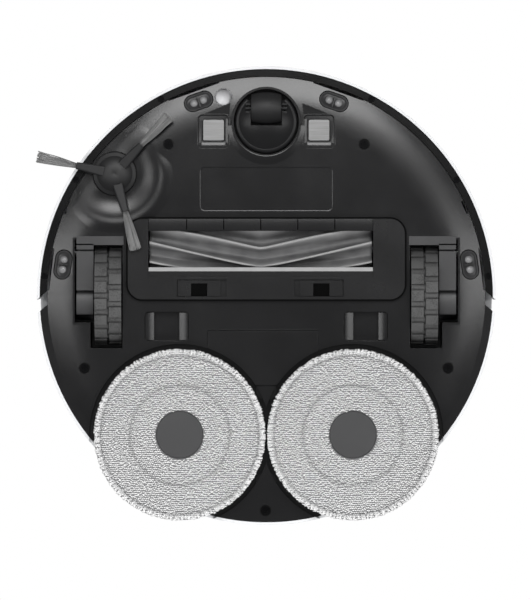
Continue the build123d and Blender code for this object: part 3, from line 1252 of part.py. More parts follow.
PAIRED_PIECES = {
    "wheel_tyre": wheel_tyre, "wheel_hub": wheel_hub, "wheel_arm": wheel_arm,
    "mop_pad": mop_pad, "mop_plate": mop_plate, "mop_shaft": mop_shaft,
}

for name, make in SINGLE_PIECES.items():
    save(name, make())
for name, make in GROUPED_PIECES.items():
    save(name, *make())
for name, make in PAIRED_GROUPS.items():
    save(name, *both_sides(make()))
for name, make in PAIRED_PIECES.items():
    right, left = both_sides(make())
    save(name + "_right", right)
    save(name + "_left", left)
for side, x in zip(("right", "left"), LATCH_CENTERS):
    save("guard_latch_" + side, guard_latch(x))
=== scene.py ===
# %% [markdown]
# # The underside of a robot vacuum
# A round cleaning robot, seen square on from below: drive wheels, a caster, a rubber main brush behind
# its guard, a three-armed side brush and two round mop pads. The solids come from the frame and are never
# moved. This lesson gives each of them its finish, and models what is soft or too fine for a solid: the
# looped cloth of the pads, the bristles, the rubber fins and the soft dents of the belly.

# %% Load the frame
import math

import bpy
import numpy as np
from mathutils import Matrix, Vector


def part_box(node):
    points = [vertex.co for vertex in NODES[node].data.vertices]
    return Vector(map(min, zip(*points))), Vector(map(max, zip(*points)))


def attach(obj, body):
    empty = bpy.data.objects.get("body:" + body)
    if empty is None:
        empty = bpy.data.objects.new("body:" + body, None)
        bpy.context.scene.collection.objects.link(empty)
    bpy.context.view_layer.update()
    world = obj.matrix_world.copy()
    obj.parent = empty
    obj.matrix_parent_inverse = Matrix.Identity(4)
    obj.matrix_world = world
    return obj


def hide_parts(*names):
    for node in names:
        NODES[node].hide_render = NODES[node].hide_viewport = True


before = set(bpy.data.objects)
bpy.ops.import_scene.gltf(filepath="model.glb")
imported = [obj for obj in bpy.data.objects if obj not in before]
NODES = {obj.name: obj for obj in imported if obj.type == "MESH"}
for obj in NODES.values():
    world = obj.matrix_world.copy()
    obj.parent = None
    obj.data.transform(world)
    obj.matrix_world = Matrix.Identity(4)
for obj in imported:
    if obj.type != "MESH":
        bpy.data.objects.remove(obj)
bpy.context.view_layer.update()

MM = 0.001
scene = bpy.context.scene
draw = np.random.default_rng(11)
print("solids in the frame:", len(NODES))

# %% [markdown]
# ## Helpers for shaders
# Colours are easiest to read as sRGB hex values, as a paint program shows them, but a shader adds up
# light, so it needs them linear. `linear` does that once for all. `add` puts one node into a node tree:
# plain values go to its sockets, and another node's socket is linked. `noise` and `two_tones` are the
# nodes used most, and `start_material` and `feed` do what every material needs at its start and end, so a
# finish is a short list of what it is made of.

# %% Colour and node helpers


def linear(hex_colour):
    """An sRGB hex value as the linear colour that a shader takes."""
    shares = [int(hex_colour[i:i + 2], 16) / 255 for i in (1, 3, 5)]
    return (*[s / 12.92 if s <= 0.04045 else ((s + 0.055) / 1.055) ** 2.4 for s in shares], 1.0)


def add(tree, kind, inputs=None, **settings):
    """Adds a shader node. Inputs are plain values or sockets of other nodes."""
    node = tree.nodes.new("ShaderNode" + kind)
    for name, value in settings.items():
        setattr(node, name, value)
    for name, value in (inputs or {}).items():
        if isinstance(value, bpy.types.NodeSocket):
            tree.links.new(value, node.inputs[name])
        else:
            node.inputs[name].default_value = value
    return node


def per_metre(size_mm):
    """The scale of a texture whose features are this many millimetres across."""
    return 1.0 / (size_mm * MM)


print("mid grey #808080 is", round(linear("#808080")[0], 3), "in linear light")

# %% Steps that all materials share


def start_material(name, **values):
    """A new material, its node tree, its shader with sockets set by name, and a place on the object."""
    material = bpy.data.materials.new(name)
    material.use_nodes = True
    shader = material.node_tree.nodes["Principled BSDF"]
    for socket, value in values.items():
        shader.inputs[socket.replace("_", " ")].default_value = value
    place = add(material.node_tree, "TexCoord").outputs["Object"]
    return material, material.node_tree, shader, place


def noise(tree, place, size_mm, detail):
    """A noise between 0 and 1, with features of a size in millimetres."""
    cloud = add(tree, "TexNoise", {"Vector": place, "Scale": per_metre(size_mm), "Detail": detail})
    return cloud.outputs["Fac"]


def two_tones(tree, share, dark, light, low=0.3, high=0.7):
    """A colour that runs from dark to light while a share runs from low to high."""
    ramp = add(tree, "ValToRGB", {"Fac": share})
    for stop, position, colour in zip(ramp.color_ramp.elements, (low, high), (dark, light)):
        stop.position = position
        stop.color = linear(colour)
    return ramp.outputs["Color"]


def feed(tree, shader, colour, share, rough, height=None, strength=0.0, depth_mm=0.0, edge_mm=None):
    """Links a colour, a roughness that runs between two values with a share, and a relief on round edges."""
    tree.links.new(colour, shader.inputs["Base Color"])
    gloss = add(tree, "MapRange", {"Value": share, "To Min": rough[0], "To Max": rough[1]})
    tree.links.new(gloss.outputs["Result"], shader.inputs["Roughness"])
    if height is None:
        return
    bump = add(tree, "Bump", {"Height": height, "Strength": strength, "Distance": depth_mm * MM})
    tree.links.new(bump.outputs["Normal"], shader.inputs["Normal"])
    if edge_mm is not None:
        edges = add(tree, "Bevel", {"Radius": edge_mm * MM}, samples=4)
        tree.links.new(edges.outputs["Normal"], bump.inputs["Normal"])


print("material helpers are ready")

# %% [markdown]
# ## Moulded plastics
# Nearly all of the robot is ABS, an opaque plastic with an index of refraction near 1.53. Its look comes
# from the mould. The belly's mould was spark-eroded, which leaves a fine pebbled grain that breaks the
# highlight into a satin sheen. The shells' mould was polished, so they keep a clear gloss with a faint
# waviness. The true grain is about 0.1 mm, finer than a pixel here, so it is drawn at about a millimetre.
# A Bevel node rounds the shading of sharp edges, as every moulded edge is rounded, and lets them catch
# the light.

# %% Moulded plastics
CLOUD_MM = 34  # size of the faint clouds in a moulded colour
PEBBLE_MM = 0.1  # height of the mould's grain


def moulded_plastic(name, dark, light, roughness, grain_mm, relief, edge_mm=0.35, spread=0.045):
    """ABS from a textured mould: two close colours, uneven roughness and a pebbled relief."""
    material, tree, shader, place = start_material(name, IOR=1.53)
    cloudy = noise(tree, place, CLOUD_MM, detail=4.0)
    grain = noise(tree, place, grain_mm, detail=3.0)
    feed(tree, shader, two_tones(tree, cloudy, dark, light), cloudy, (roughness - spread, roughness + spread),
         height=grain, strength=relief, depth_mm=PEBBLE_MM, edge_mm=edge_mm)
    return material


charcoal_abs = moulded_plastic("moulded_abs_charcoal_satin", "#141415", "#181819", 0.2, 0.9, 0.25)
black_abs = moulded_plastic("moulded_abs_black_smooth", "#161617", "#1a1a1b", 0.34, 1.4, 0.2)
guard_abs = moulded_plastic("moulded_abs_guard_satin", "#141415", "#181819", 0.26, 0.9, 0.3, 0.1)
bumper_abs = moulded_plastic("moulded_abs_bumper_matt", "#070708", "#0a0a0b", 0.24, 0.8, 0.3)
hub_abs = moulded_plastic("moulded_abs_brush_hub_matt", "#141415", "#181819", 0.5, 0.9, 0.3)
# Painted shade: a near-black plastic with almost no highlight, laid where gaps, slits and the latches'
# notches stand in shade.
gap_shade_abs = moulded_plastic("painted_gap_shade_black", "#040404", "#060606", 0.6, 0.9, 0.1)
lens_grey = moulded_plastic("moulded_polycarbonate_lens_grey", "#7c7c7d", "#868687", 0.2, 1.5, 0.05)
module_abs = moulded_plastic("moulded_abs_wheel_module_grey", "#363637", "#3e3e3f", 0.45, 0.9, 0.3)
grey_abs = moulded_plastic("moulded_abs_grey_inner", "#54555a", "#5c5d61", 0.45, 1.0, 0.4)
hub_pp = moulded_plastic("moulded_polypropylene_hub_grey", "#3c3c3d", "#404041", 0.55, 0.8, 0.3)
white_abs = moulded_plastic("moulded_abs_white_gloss", "#e7e8ea", "#ebecee", 0.2, 3.0, 0.06, 0.6, 0.01)
for finish, shine in ((gap_shade_abs, 0.05), (bumper_abs, 0.27), (black_abs, 0.3)):
    finish.node_tree.nodes["Principled BSDF"].inputs["Specular IOR Level"].default_value = shine
print("moulded plastics: 11")

# %% [markdown]
# ## Rubber, bristle and cloth
# The tyres are black rubber with a grained tread face, so they are the most matt surface of all. Shade
# between the tread blocks is painted: an Ambient Occlusion node finds the grooves, and the colour goes to
# black there as painted shade. The brush is a thermoplastic rubber, grey through and through, whose fins
# are painted darker at the root as shade and paler at their thin edges as a painted highlight. Side-brush
# bristles are extruded nylon: smooth threads with a soft shine. The pads are looped microfibre, white
# polyester yarn that scatters light, with a little sheen from its fibres. The yarn is painted darker
# towards the loops' feet and in the sewn channels, as painted shade.

# %% Rubber, bristle and cloth
GROOVE_MM = 2.5  # reach over which a groove is shaded by its own walls
DUST_MM = 9
# Painted shade: the near-black that the grooves and hollows of every rubber take.
GROOVE_SHADE = "#0c0c0c"


def rubber(name, dark, light, roughness, grain_mm, relief):
    """Rubber with a grained face and painted shade in its hollows.
    The grain is a cell pattern, as ground mould steel leaves.
    """
    material, tree, shader, place = start_material(name, IOR=1.52)
    dust = noise(tree, place, DUST_MM, detail=5.0)
    cells = add(tree, "TexVoronoi", {"Vector": place, "Scale": per_metre(grain_mm)}).outputs["Distance"]
    worn = add(tree, "Math", {0: cells, 1: relief, 2: dust}, operation="MULTIPLY_ADD").outputs["Value"]
    tint = two_tones(tree, worn, dark, light, 0.35, 0.9)
    # Painted shade: where the Ambient Occlusion node finds a groove, the colour goes towards near-black.
    openness = add(tree, "AmbientOcclusion", {"Distance": GROOVE_MM * MM}, samples=8, only_local=True)
    open_face = add(tree, "MapRange", {"Value": openness.outputs["AO"], "From Min": 0.45, "From Max": 0.95})
    groove_shaded = add(tree, "Mix", {0: open_face.outputs["Result"], 6: linear(GROOVE_SHADE), 7: tint}, data_type="RGBA")
    feed(tree, shader, groove_shaded.outputs[2], dust, (roughness - 0.05, roughness + 0.05),
         height=cells, strength=relief, depth_mm=0.25, edge_mm=0.3)
    return material


def tipped(name, root, tip, roughness, sheen=0.0, fine_mm=0.8):
    """A thread or fin, coloured from root to tip by its mesh's tip attribute, with a fine mottling."""
    material, tree, shader, place = start_material(name, IOR=1.53, Sheen_Weight=sheen, Sheen_Roughness=0.4)
    along = add(tree, "Attribute", attribute_name="tip").outputs["Fac"]
    mottle = noise(tree, place, fine_mm, detail=2.0)
    lift = add(tree, "Math", {0: mottle, 1: 0.5, 2: -0.25}, operation="MULTIPLY_ADD").outputs["Value"]
    share = add(tree, "Math", {0: along, 1: lift}, operation="ADD").outputs["Value"]
    tint = two_tones(tree, share, root, tip, 0.0, 1.0)
    feed(tree, shader, tint, mottle, (roughness - 0.08, roughness + 0.06),
         height=mottle, strength=0.15, depth_mm=0.1)
    return material


tread_rubber = rubber("moulded_rubber_tread_black", "#303030", "#565656", 0.78, 1.1, 0.7)
scraper_rubber = rubber("moulded_rubber_scraper_grey", "#9c9c9c", "#a8a8a8", 0.6, 0.9, 0.15)
sleeve_rubber = rubber("moulded_rubber_sleeve_dark", "#1c1c1d", "#232324", 0.6, 0.9, 0.15)
caster_rubber = rubber("moulded_rubber_caster_dark", "#161617", "#1c1c1d", 0.55, 1.0, 0.15)
# Painted shade and highlight: the fins run from a dark root, shaded between them, to a pale lip.
fin_rubber = tipped("moulded_rubber_fin_grey", "#464647", "#9a9a9a", 0.5, fine_mm=14)
bristle_nylon = tipped("extruded_nylon_bristle_grey", "#5e5e5e", "#969696", 0.4)
# Painted shade: the yarn runs from a grey root, where the loops would shade each other, to white at their
# tops.
loop_cloth = tipped("looped_microfibre_white", "#747476", "#ffffff", 0.9, sheen=0.5)
print("rubbers, nylon and cloth: 7")

# %% [markdown]
# ## Metal, clear plastic and what lies inside
# The charging pads are brushed stainless steel: fine scratches along one line stretch the highlight
# across them. Screws are blackened steel. The tanks are smoked polycarbonate with an index of 1.586, and
# the window in the bumper is the same plastic dyed so dark that only infrared passes. Board, battery and
# tanks hide inside the body, but they are finished too, because the cover lifts off.

# %% Metals, clear plastics and inner pieces
FLOW_MM = 12  # size of the flow marks in a clear plastic


def scratched_metal(name, dark, light, roughness, scratch_mm, stretch):
    """Bare metal with scratches along X: a noise that is stretched along that line."""
    material, tree, shader, place = start_material(name, Metallic=1.0)
    along = add(tree, "Mapping", {"Vector": place, "Scale": (1.0 / stretch, 1.0, 1.0)}).outputs["Vector"]
    lines = noise(tree, along, scratch_mm, detail=3.0)
    feed(tree, shader, two_tones(tree, lines, dark, light), lines, (roughness - 0.07, roughness + 0.1),
         height=lines, strength=0.2, depth_mm=0.05, edge_mm=0.25)
    return material


def clear_plastic(name, dark, light, clearness, roughness):
    """Polycarbonate: smooth, with slight flow marks from the mould."""
    material, tree, shader, place = start_material(name, IOR=1.586, Transmission_Weight=clearness)
    flow = noise(tree, place, FLOW_MM, detail=2.0)
    feed(tree, shader, two_tones(tree, flow, dark, light), flow, (roughness, roughness + 0.05))
    return material


contact_steel = scratched_metal("brushed_stainless_steel", "#868686", "#989898", 0.42, 0.7, 30)
turned_steel = scratched_metal("turned_bright_steel", "#9a9a9c", "#b0b0b2", 0.3, 0.6, 4)
screw_steel = scratched_metal("blackened_screw_steel", "#151516", "#1c1c1d", 0.5, 0.8, 2)
sensor_silver = scratched_metal("vapour_plated_silver", "#666667", "#6c6c6d", 0.28, 6.0, 1)
window_dark = clear_plastic("dyed_polycarbonate_infrared_black", "#0a0809", "#0e0b0c", 0.0, 0.08)
tank_smoked = clear_plastic("moulded_polycarbonate_smoked", "#7b8086", "#8a8f95", 0.55, 0.15)
board_mask = moulded_plastic("printed_board_solder_mask", "#0d3a22", "#12472b", 0.35, 2.2, 0.5)
battery_wrap = moulded_plastic("shrink_wrap_battery_blue", "#1d2a44", "#22314f", 0.3, 6.0, 0.3)
print("metals, clear plastics and inner finishes: 8")

# %% [markdown]
# ## Painting the solids
# Every solid that stays visible gets one of these finishes. The list goes by what each piece is made of,
# and anything that is not named is the charcoal ABS of the belly.

# %% Give the solids their finishes
FINISHES = {
    white_abs: ["rear_shell", "bumper_skin", "top_cover", "lidar_cap", "power_button"],
    bumper_abs: ["bumper_lower_ring"],
    hub_abs: ["side_brush_hub"],
    black_abs: ["caster_fork", "caster_socket", "caster_axle", "cliff_sensor_housings", "brush_tunnel",
                "lidar_rotor"],
    guard_abs: ["brush_guard", "guard_latch_right", "guard_latch_left"],
    module_abs: ["wheel_arm_right", "wheel_arm_left"],
    grey_abs: ["top_deck", "brush_motor", "side_brush_motor", "mop_lift_motor", "mop_motor", "mop_carriage",
               "water_pump", "blower_housing", "blower_impeller", "lidar_base", "brush_pinion", "brush_core",
               "bumper_switches", "wheel_hub_right", "wheel_hub_left"],
    hub_pp: ["mop_plate_right", "mop_plate_left"],
    tread_rubber: ["wheel_tyre_right", "wheel_tyre_left"],
    scraper_rubber: ["guard_scraper"],
    sleeve_rubber: ["side_brush_sleeves"],
    caster_rubber: ["caster_wheel"],
    contact_steel: ["charge_contacts"],
    turned_steel: ["arm_pivot_pins", "mop_shaft_right", "mop_shaft_left"],
    screw_steel: ["chassis_screws", "bumper_screws"],
    lens_grey: ["cliff_sensor_lenses"],
    window_dark: ["bumper_window"],
    tank_smoked: ["dust_bin", "water_tank"],
    board_mask: ["main_board"],
    battery_wrap: ["battery_pack"],
}
for solid in NODES.values():
    solid.data.materials.clear()
    solid.data.materials.append(charcoal_abs)
for material, names in FINISHES.items():
    for name in names:
        NODES[name].data.materials[0] = material
print("finishes on solids:", len(FINISHES) + 1)

# %% [markdown]
# ## Making meshes in code
# The soft and fine pieces are built from arrays of points. `piece` turns points and faces into an object,
# gives it a finish and lets it ride on a body of the frame, so that it moves when that body moves.
# `revolved` turns a profile about an upright axis, as a potter does. `tubes` draws many thin threads at
# once: each thread is a row of points, with a small ring of corners set square to its path at each.

# %% Mesh helpers
SIDES = {"right": 1, "left": -1}  # the robot's sides, and their way along X
TINY = 1e-12
SLANT = np.array([0.011, 0.007, 0.003])  # gives a straight thread a plane to start from


def piece(name, points, faces, body, material, tip=None, crisp=None):
    """An object from points in millimetres, that rides on a body. Edges over crisp degrees stay sharp."""
    mesh = bpy.data.meshes.new(name)
    mesh.from_pydata(np.asarray(points, np.float32) * MM, [], faces, shade_flat=False)
    mesh.validate()
    if crisp is not None:
        mesh.set_sharp_from_angle(angle=math.radians(crisp))
    if tip is not None:
        mesh.attributes.new("tip", "FLOAT", "POINT").data.foreach_set("value", np.asarray(tip, np.float32))
    mesh.materials.append(material)
    made = bpy.data.objects.new(name, mesh)
    scene.collection.objects.link(made)
    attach(made, body)
    return made


def grid_faces(rows, columns, closed):
    """Four-sided faces between the rows of a grid of points, joined round each row where closed."""
    faces = []
    for r in range(rows - 1):
        for c in range(columns if closed else columns - 1):
            d = (c + 1) % columns
            faces.append((r * columns + c, r * columns + d, (r + 1) * columns + d, (r + 1) * columns + c))
    return faces


def row_face(row, columns):
    """One face through all points of a grid's row."""
    return tuple(range(row * columns, (row + 1) * columns))


def revolved(profile, centre, steps=128):
    """Points and faces of a profile of (radius, height), turned about an upright axis."""
    turn = np.linspace(0, 2 * math.pi, steps, endpoint=False)
    points = [(centre[0] + r * math.cos(a), centre[1] + r * math.sin(a), z) for r, z in profile for a in turn]
    return points, grid_faces(len(profile), steps, True)


def tubes(paths, radii, sides):
    """Points and faces of many threads. Paths is (threads, points, 3) and radii fits (threads, points)."""
    paths = np.asarray(paths, float)
    count, length = paths.shape[:2]
    along = np.gradient(paths, axis=1)
    along /= np.linalg.norm(along, axis=2, keepdims=True) + TINY
    chord = paths[:, -1] - paths[:, 0]
    bow = paths[:, length // 2] - (paths[:, 0] + paths[:, -1]) / 2
    flat = np.cross(chord, bow + SLANT)
    across = np.cross(along, np.broadcast_to(flat[:, None], along.shape))
    across /= np.linalg.norm(across, axis=2, keepdims=True) + TINY
    up = np.cross(along, across)
    turn = np.linspace(0, 2 * math.pi, sides, endpoint=False)
    radii = np.broadcast_to(radii, (count, length))[:, :, None, None]
    ring = across[:, :, None] * np.cos(turn)[:, None] + up[:, :, None] * np.sin(turn)[:, None]
    points = paths[:, :, None] + radii * ring
    one = np.array(grid_faces(length, sides, True))
    ends = [row_face(0, sides)[::-1], row_face(length - 1, sides)]
    step = length * sides
    faces = [tuple(face) for face in (one[None] + step * np.arange(count)[:, None, None]).reshape(-1, 4)]
    faces += [tuple(corner + step * thread for corner in end) for thread in range(count) for end in ends]
    return points.reshape(-1, 3), faces


def block(name, low, high, body, material):
    """A plain box between two corners."""
    corners = [(x, y, z) for x in (low[0], high[0]) for y in (low[1], high[1]) for z in (low[2], high[2])]
    faces = [(0, 1, 3, 2), (4, 6, 7, 5), (0, 4, 5, 1), (2, 3, 7, 6), (0, 2, 6, 4), (1, 5, 7, 3)]
    return piece(name, corners, faces, body, material, crisp=30)


def middle(node):
    """The middle of a solid's box and its half sizes, in millimetres."""
    low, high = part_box(node)
    return np.array((low + high) / 2) / MM, np.array((high - low) / 2) / MM


print("mesh helpers are ready")

# %% [markdown]
# ## The mop pads
# Each pad is a disc of looped microfibre sewn onto a backing. The cloth swells between two sewn rings,
# and the loops stand in rows with a ragged fringe of longer loops round the rim. A texture alone would
# stay flat at the rim, so every loop is drawn: a short arch of yarn with its own length, lean and turn,
# several thousand to a pad. The body of the pad under them is a turned ring with the crowns and channels
# of the sewing.

# %% Loops of the cloth
ROW_PITCH = 1.6  # rows of loops
LOOP_PITCH = 1.5  # loops along a row
LOOP_SPAN = 1.6  # feet of a loop
LOOP_HEIGHT = 2.0
LOOP_FOOT = 1.15  # depth of the loops' feet below the tips, in loop heights
LOOP_JITTER = 0.13
LOOP_MARGIN = (0.8, 0.6)  # free edge at the hole and at the rim
LOOP_TURN = 0.25  # spread of the loops' turn, in radians
LOOP_LEAN = (-0.25, 0.3)  # mean lean of the loops and its spread
ROW_WAVE = 0.5  # how far a row strays to either side
YARN_R = 0.4
YARN_SIDES = 4
LOOP_POINTS = 6
HOLE_ROUND = (3.0, 1.2)  # reach and lift of the cloth's round edge at the hole
RIM_ROUND = (5.0, 2.6)  # the same at the rim
SEWN_RINGS = (38.0, 60.5)
CHANNEL_DEPTH = 1.5
CHANNEL_REACH = 1.9  # how far a sewn ring draws the cloth in


def cloth_height(radius, hole, rim):
    """Height of the loops' tips above the floor: drawn in at the sewn rings and round at the rim."""
    lift = np.zeros_like(radius)
    for ring in SEWN_RINGS:
        lift += CHANNEL_DEPTH * np.exp(-((radius - ring) / CHANNEL_REACH) ** 2)
    reach, rise = HOLE_ROUND
    lift += rise * np.clip((hole + reach - radius) / reach, 0, 1) ** 2
    reach, rise = RIM_ROUND
    return lift + rise * np.clip((radius - rim + reach) / reach, 0, 1.2) ** 2


def pad_loops(centre, hole, rim):
    """Arches of yarn in rows over the pad's face."""
    rows = np.arange(-rim, rim, ROW_PITCH)
    feet = []
    for i, y in enumerate(rows):
        x = np.arange(-rim, rim, LOOP_PITCH) + (i % 2) * LOOP_PITCH / 2
        feet.append(np.column_stack([x, np.full_like(x, y)]))
    feet = np.concatenate(feet)
    feet += draw.normal(0, LOOP_JITTER, feet.shape)
    feet[:, 1] += ROW_WAVE * np.sin(feet[:, 0] / 11.0 + feet[:, 1] / 17.0)
    radius = np.hypot(*feet.T)
    keep = (radius > hole + LOOP_MARGIN[0]) & (radius < rim - LOOP_MARGIN[1])
    feet, radius = feet[keep], radius[keep]
    count = len(feet)
    turn = draw.normal(0, LOOP_TURN, count)
    lean = draw.normal(*LOOP_LEAN, count)
    height = LOOP_HEIGHT * draw.uniform(0.75, 1.1, count)
    span = LOOP_SPAN * draw.uniform(0.7, 1.25, count)
    share = np.linspace(0, 1, LOOP_POINTS)[None, :]
    arch = np.sin(math.pi * share)
    run = (share - 0.5) * span[:, None]
    side = lean[:, None] * arch
    x = feet[:, 0, None] + run * np.cos(turn)[:, None] - side * np.sin(turn)[:, None]
    y = feet[:, 1, None] + run * np.sin(turn)[:, None] + side * np.cos(turn)[:, None]
    foot = cloth_height(radius, hole, rim) + LOOP_HEIGHT * LOOP_FOOT
    z = np.maximum(foot[:, None] - height[:, None] * arch, YARN_R + 0.05)
    paths = np.stack([centre[0] + x, centre[1] + y, z], axis=2)
    # Painted shade: each loop is coloured darker at its feet and near the sewn rings, on top of a random
    # tone.
    sewn = sum(np.exp(-(radius - ring) ** 2) for ring in SEWN_RINGS)
    tone_and_shade = (draw.uniform(-0.15, 0.15, count) - 0.4 * sewn)[:, None] + 0.1 + 0.9 * arch
    return paths, tone_and_shade


print("loops are", LOOP_PITCH, "mm apart, in rows", ROW_PITCH, "mm apart")

# %% Fringe and pads
CLOTH_WIDTH = 47.6  # from the hub's hole to the rim
BACKING = 0.9  # depth of the pad's body below the tips, in loop heights
FRINGE_LAYERS = (0.32, 0.52, 0.74)  # heights of the layers, in pad thicknesses
FRINGE_COUNT = 150  # loops in each layer round the rim
FRINGE_REACH = 5.0
FRINGE_HALF = 0.55  # half the distance between the feet of a fringe loop
FRINGE_YARN_R = 0.6
FRINGE_GAP = 0.1  # keeps the fringes of the two pads from touching as they turn


def pad_fringe(centre, rim, thick):
    """Longer loops that stand out round the rim, in three layers."""
    paths, tones = [], []
    share = np.linspace(0, 1, LOOP_POINTS)[None, :]
    arch = np.sin(math.pi * share)
    for layer, height in enumerate(FRINGE_LAYERS):
        angle = (np.arange(FRINGE_COUNT) + layer / len(FRINGE_LAYERS)) * 2 * math.pi / FRINGE_COUNT
        angle += draw.normal(0, 0.006, FRINGE_COUNT)
        reach = FRINGE_REACH * draw.uniform(0.74, 1.0, FRINGE_COUNT)
        width = FRINGE_HALF * draw.uniform(0.6, 1.2, FRINGE_COUNT)
        start = rim - FRINGE_REACH + draw.uniform(0.0, 0.4, FRINGE_COUNT)
        out = start[:, None] + reach[:, None] * arch ** 0.7
        sway = width[:, None] * (share - 0.5) * 2 + 0.5 * arch * draw.normal(0, 1, (FRINGE_COUNT, 1))
        sway = angle[:, None] + sway / rim
        z = np.broadcast_to(thick * height + draw.normal(0, 0.3, (FRINGE_COUNT, 1)), out.shape)
        paths.append(np.stack([centre[0] + out * np.cos(sway), centre[1] + out * np.sin(sway), z], axis=2))
        # Painted shade: the fringe loops are darker at their feet, and their tone also differs at random.
        tones.append(0.3 + 0.6 * arch + draw.uniform(-0.1, 0.1, (FRINGE_COUNT, 1)))
    return np.concatenate(paths), np.concatenate(tones)


def mop_pad(side):
    """The pad's turned body and its yarn, in place of the plain ring."""
    node = "mop_pad_" + side
    centre, half = middle(node)
    rim = half[0]
    thick = 2 * half[2]
    hole = rim - CLOTH_WIDTH
    radii = np.concatenate([np.linspace(hole, rim - 1.6, 40), [rim - 0.8, rim - 0.5, rim - 0.9]])
    low = cloth_height(radii, hole, rim) + LOOP_HEIGHT * BACKING
    low[-3:] = [thick * 0.45, thick * 0.7, thick]
    profile = list(zip(radii, low)) + [(hole, thick), (hole, low[0])]
    points, faces = revolved(profile, centre)
    # Painted shade: the pad's body under the loops takes the yarn's dark root colour.
    tones = np.full(len(points), 0.12)
    body = piece(node + "_body", points, faces, "mop_" + side, loop_cloth, tones)
    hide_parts(node)
    loops, tone_and_shade = pad_loops(centre, hole, rim)
    fringe, fringe_tone_and_shade = pad_fringe(centre, rim - FRINGE_GAP, thick)
    paths = np.concatenate([loops, fringe])
    yarn = np.repeat([YARN_R, FRINGE_YARN_R], [len(loops), len(fringe)])[:, None]
    points, faces = tubes(paths, yarn, YARN_SIDES)
    tips = np.repeat(np.concatenate([tone_and_shade, fringe_tone_and_shade]).ravel(), YARN_SIDES)
    piece(node + "_loops", points, faces, "mop_" + side, loop_cloth, tips)
    return len(paths)


for side in SIDES:
    print("loops on the", side, "pad:", mop_pad(side))

# %% [markdown]
# ## The side brush
# Each of its three arms ends in a tuft of nylon threads, clamped in a rubber sleeve. Bundled at the
# sleeve, the threads fan out towards their tips, and use has bent each one a little its own way. They are
# drawn one by one, as thin tubes, a little more of them than the solid tuft has.

# %% Bristles of the side brush
TUFT_ANGLES = (12.0, 133.0, 254.0)
TUFT_THREADS = 118
THREAD_R = 0.17
THREAD_POINTS = 9
THREAD_SIDES = 4
SLEEVE_END = 29.5
TUFT_END = 60.0
TUFT_ROOT = (3.8, 1.5)  # width and height of the bundle at the sleeve
TUFT_SPREAD = (9.0, 1.9)  # the same at the tips
TUFT_ROOT_Z = 5.4
TUFT_DROP = 2.6  # how far the tips hang below the root

hub, _ = middle("side_brush_hub")
share = np.linspace(0, 1, THREAD_POINTS)[None, :]
threads, tones = [], []
for angle in TUFT_ANGLES:
    spot = draw.uniform(-0.5, 0.5, (TUFT_THREADS, 2))
    end = TUFT_END + draw.uniform(-1.6, 0.6, (TUFT_THREADS, 1))
    out = SLEEVE_END + (end - SLEEVE_END) * share
    fan = share ** 1.15
    bend = draw.normal(0, 0.45, (TUFT_THREADS, 1)) * np.sin(math.pi * share) + 0.5 * share ** 2
    sideways = spot[:, :1] * (TUFT_ROOT[0] + (TUFT_SPREAD[0] - TUFT_ROOT[0]) * fan) + bend
    z = TUFT_ROOT_Z - TUFT_DROP * share + spot[:, 1:] * (TUFT_ROOT[1] + (TUFT_SPREAD[1] - TUFT_ROOT[1]) * fan)
    turn = math.radians(angle)
    x = hub[0] + out * math.cos(turn) - sideways * math.sin(turn)
    y = hub[1] + out * math.sin(turn) + sideways * math.cos(turn)
    threads.append(np.stack([x, y, z], axis=2))
    tones.append(np.clip(0.25 + 0.6 * share + draw.normal(0, 0.22, (TUFT_THREADS, 1)), 0, 1))
points, faces = tubes(np.concatenate(threads), THREAD_R, THREAD_SIDES)
bristles = piece("side_brush_threads", points, faces, "side_brush", bristle_nylon,
                 np.repeat(np.concatenate(tones).ravel(), THREAD_SIDES))
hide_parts("side_brush_bristles")
print("bristle threads:", TUFT_THREADS * len(TUFT_ANGLES))

# %% [markdown]
# ## The rubber main brush
# Its sleeve carries eight fins in a chevron: each runs from the ends towards a point near the middle, so
# dirt is swept there. A fin is thick at its root, thins to a lip and leans back a little, because rubber
# gives. Its colour is painted darker at the root, as shade between the fins, and paler at the lip, as a
# painted highlight. The brush is one mesh: rows of rings across the sleeve whose outline is the circle
# with eight fins standing on it.

# %% Chevron fins of the main brush
FIN_COUNT = 8
FIN_TWIST = 58.0
FIN_TRAIL = 3.0  # degrees that a lip trails its root
SLEEVE_R = 11.5
LIP_R = 20.0
FIN_HALF = (2.0, 0.7)  # half the thickness at root and lip
FIN_APEX_X = 4.2
APEX_ROUND = 3.0  # length over which the two arms of the chevron meet
RING_COUNT = 90
LEVELS = 7
RISE = np.arange(LEVELS) / (LEVELS - 1)  # steps up a fin's flank
SAG = 0.3  # hollow of the sleeve between two fins

core_mid, core_half = middle("brush_fins")
brush_y, brush_z = core_mid[1], core_mid[2]
ends = (core_mid[0] - core_half[0], core_mid[0] + core_half[0])


def fin_outline():
    """Radius, angle and tip share round one ring: up a fin, over its lip, down and on along the sleeve."""
    outline = []
    for fin in range(FIN_COUNT):
        base = 360.0 * fin / FIN_COUNT
        for flank, parts in ((-1, RISE), (1, RISE[::-1])):
            for part in parts:
                radius = SLEEVE_R + (LIP_R - SLEEVE_R) * part
                half = FIN_HALF[0] + (FIN_HALF[1] - FIN_HALF[0]) * part ** 0.6
                angle = base + FIN_TRAIL * part ** 2 + flank * math.degrees(half / radius)
                outline.append((radius, angle, part))
        outline.append((SLEEVE_R - SAG, base + 180.0 / FIN_COUNT, 0.0))
    return np.array(outline)


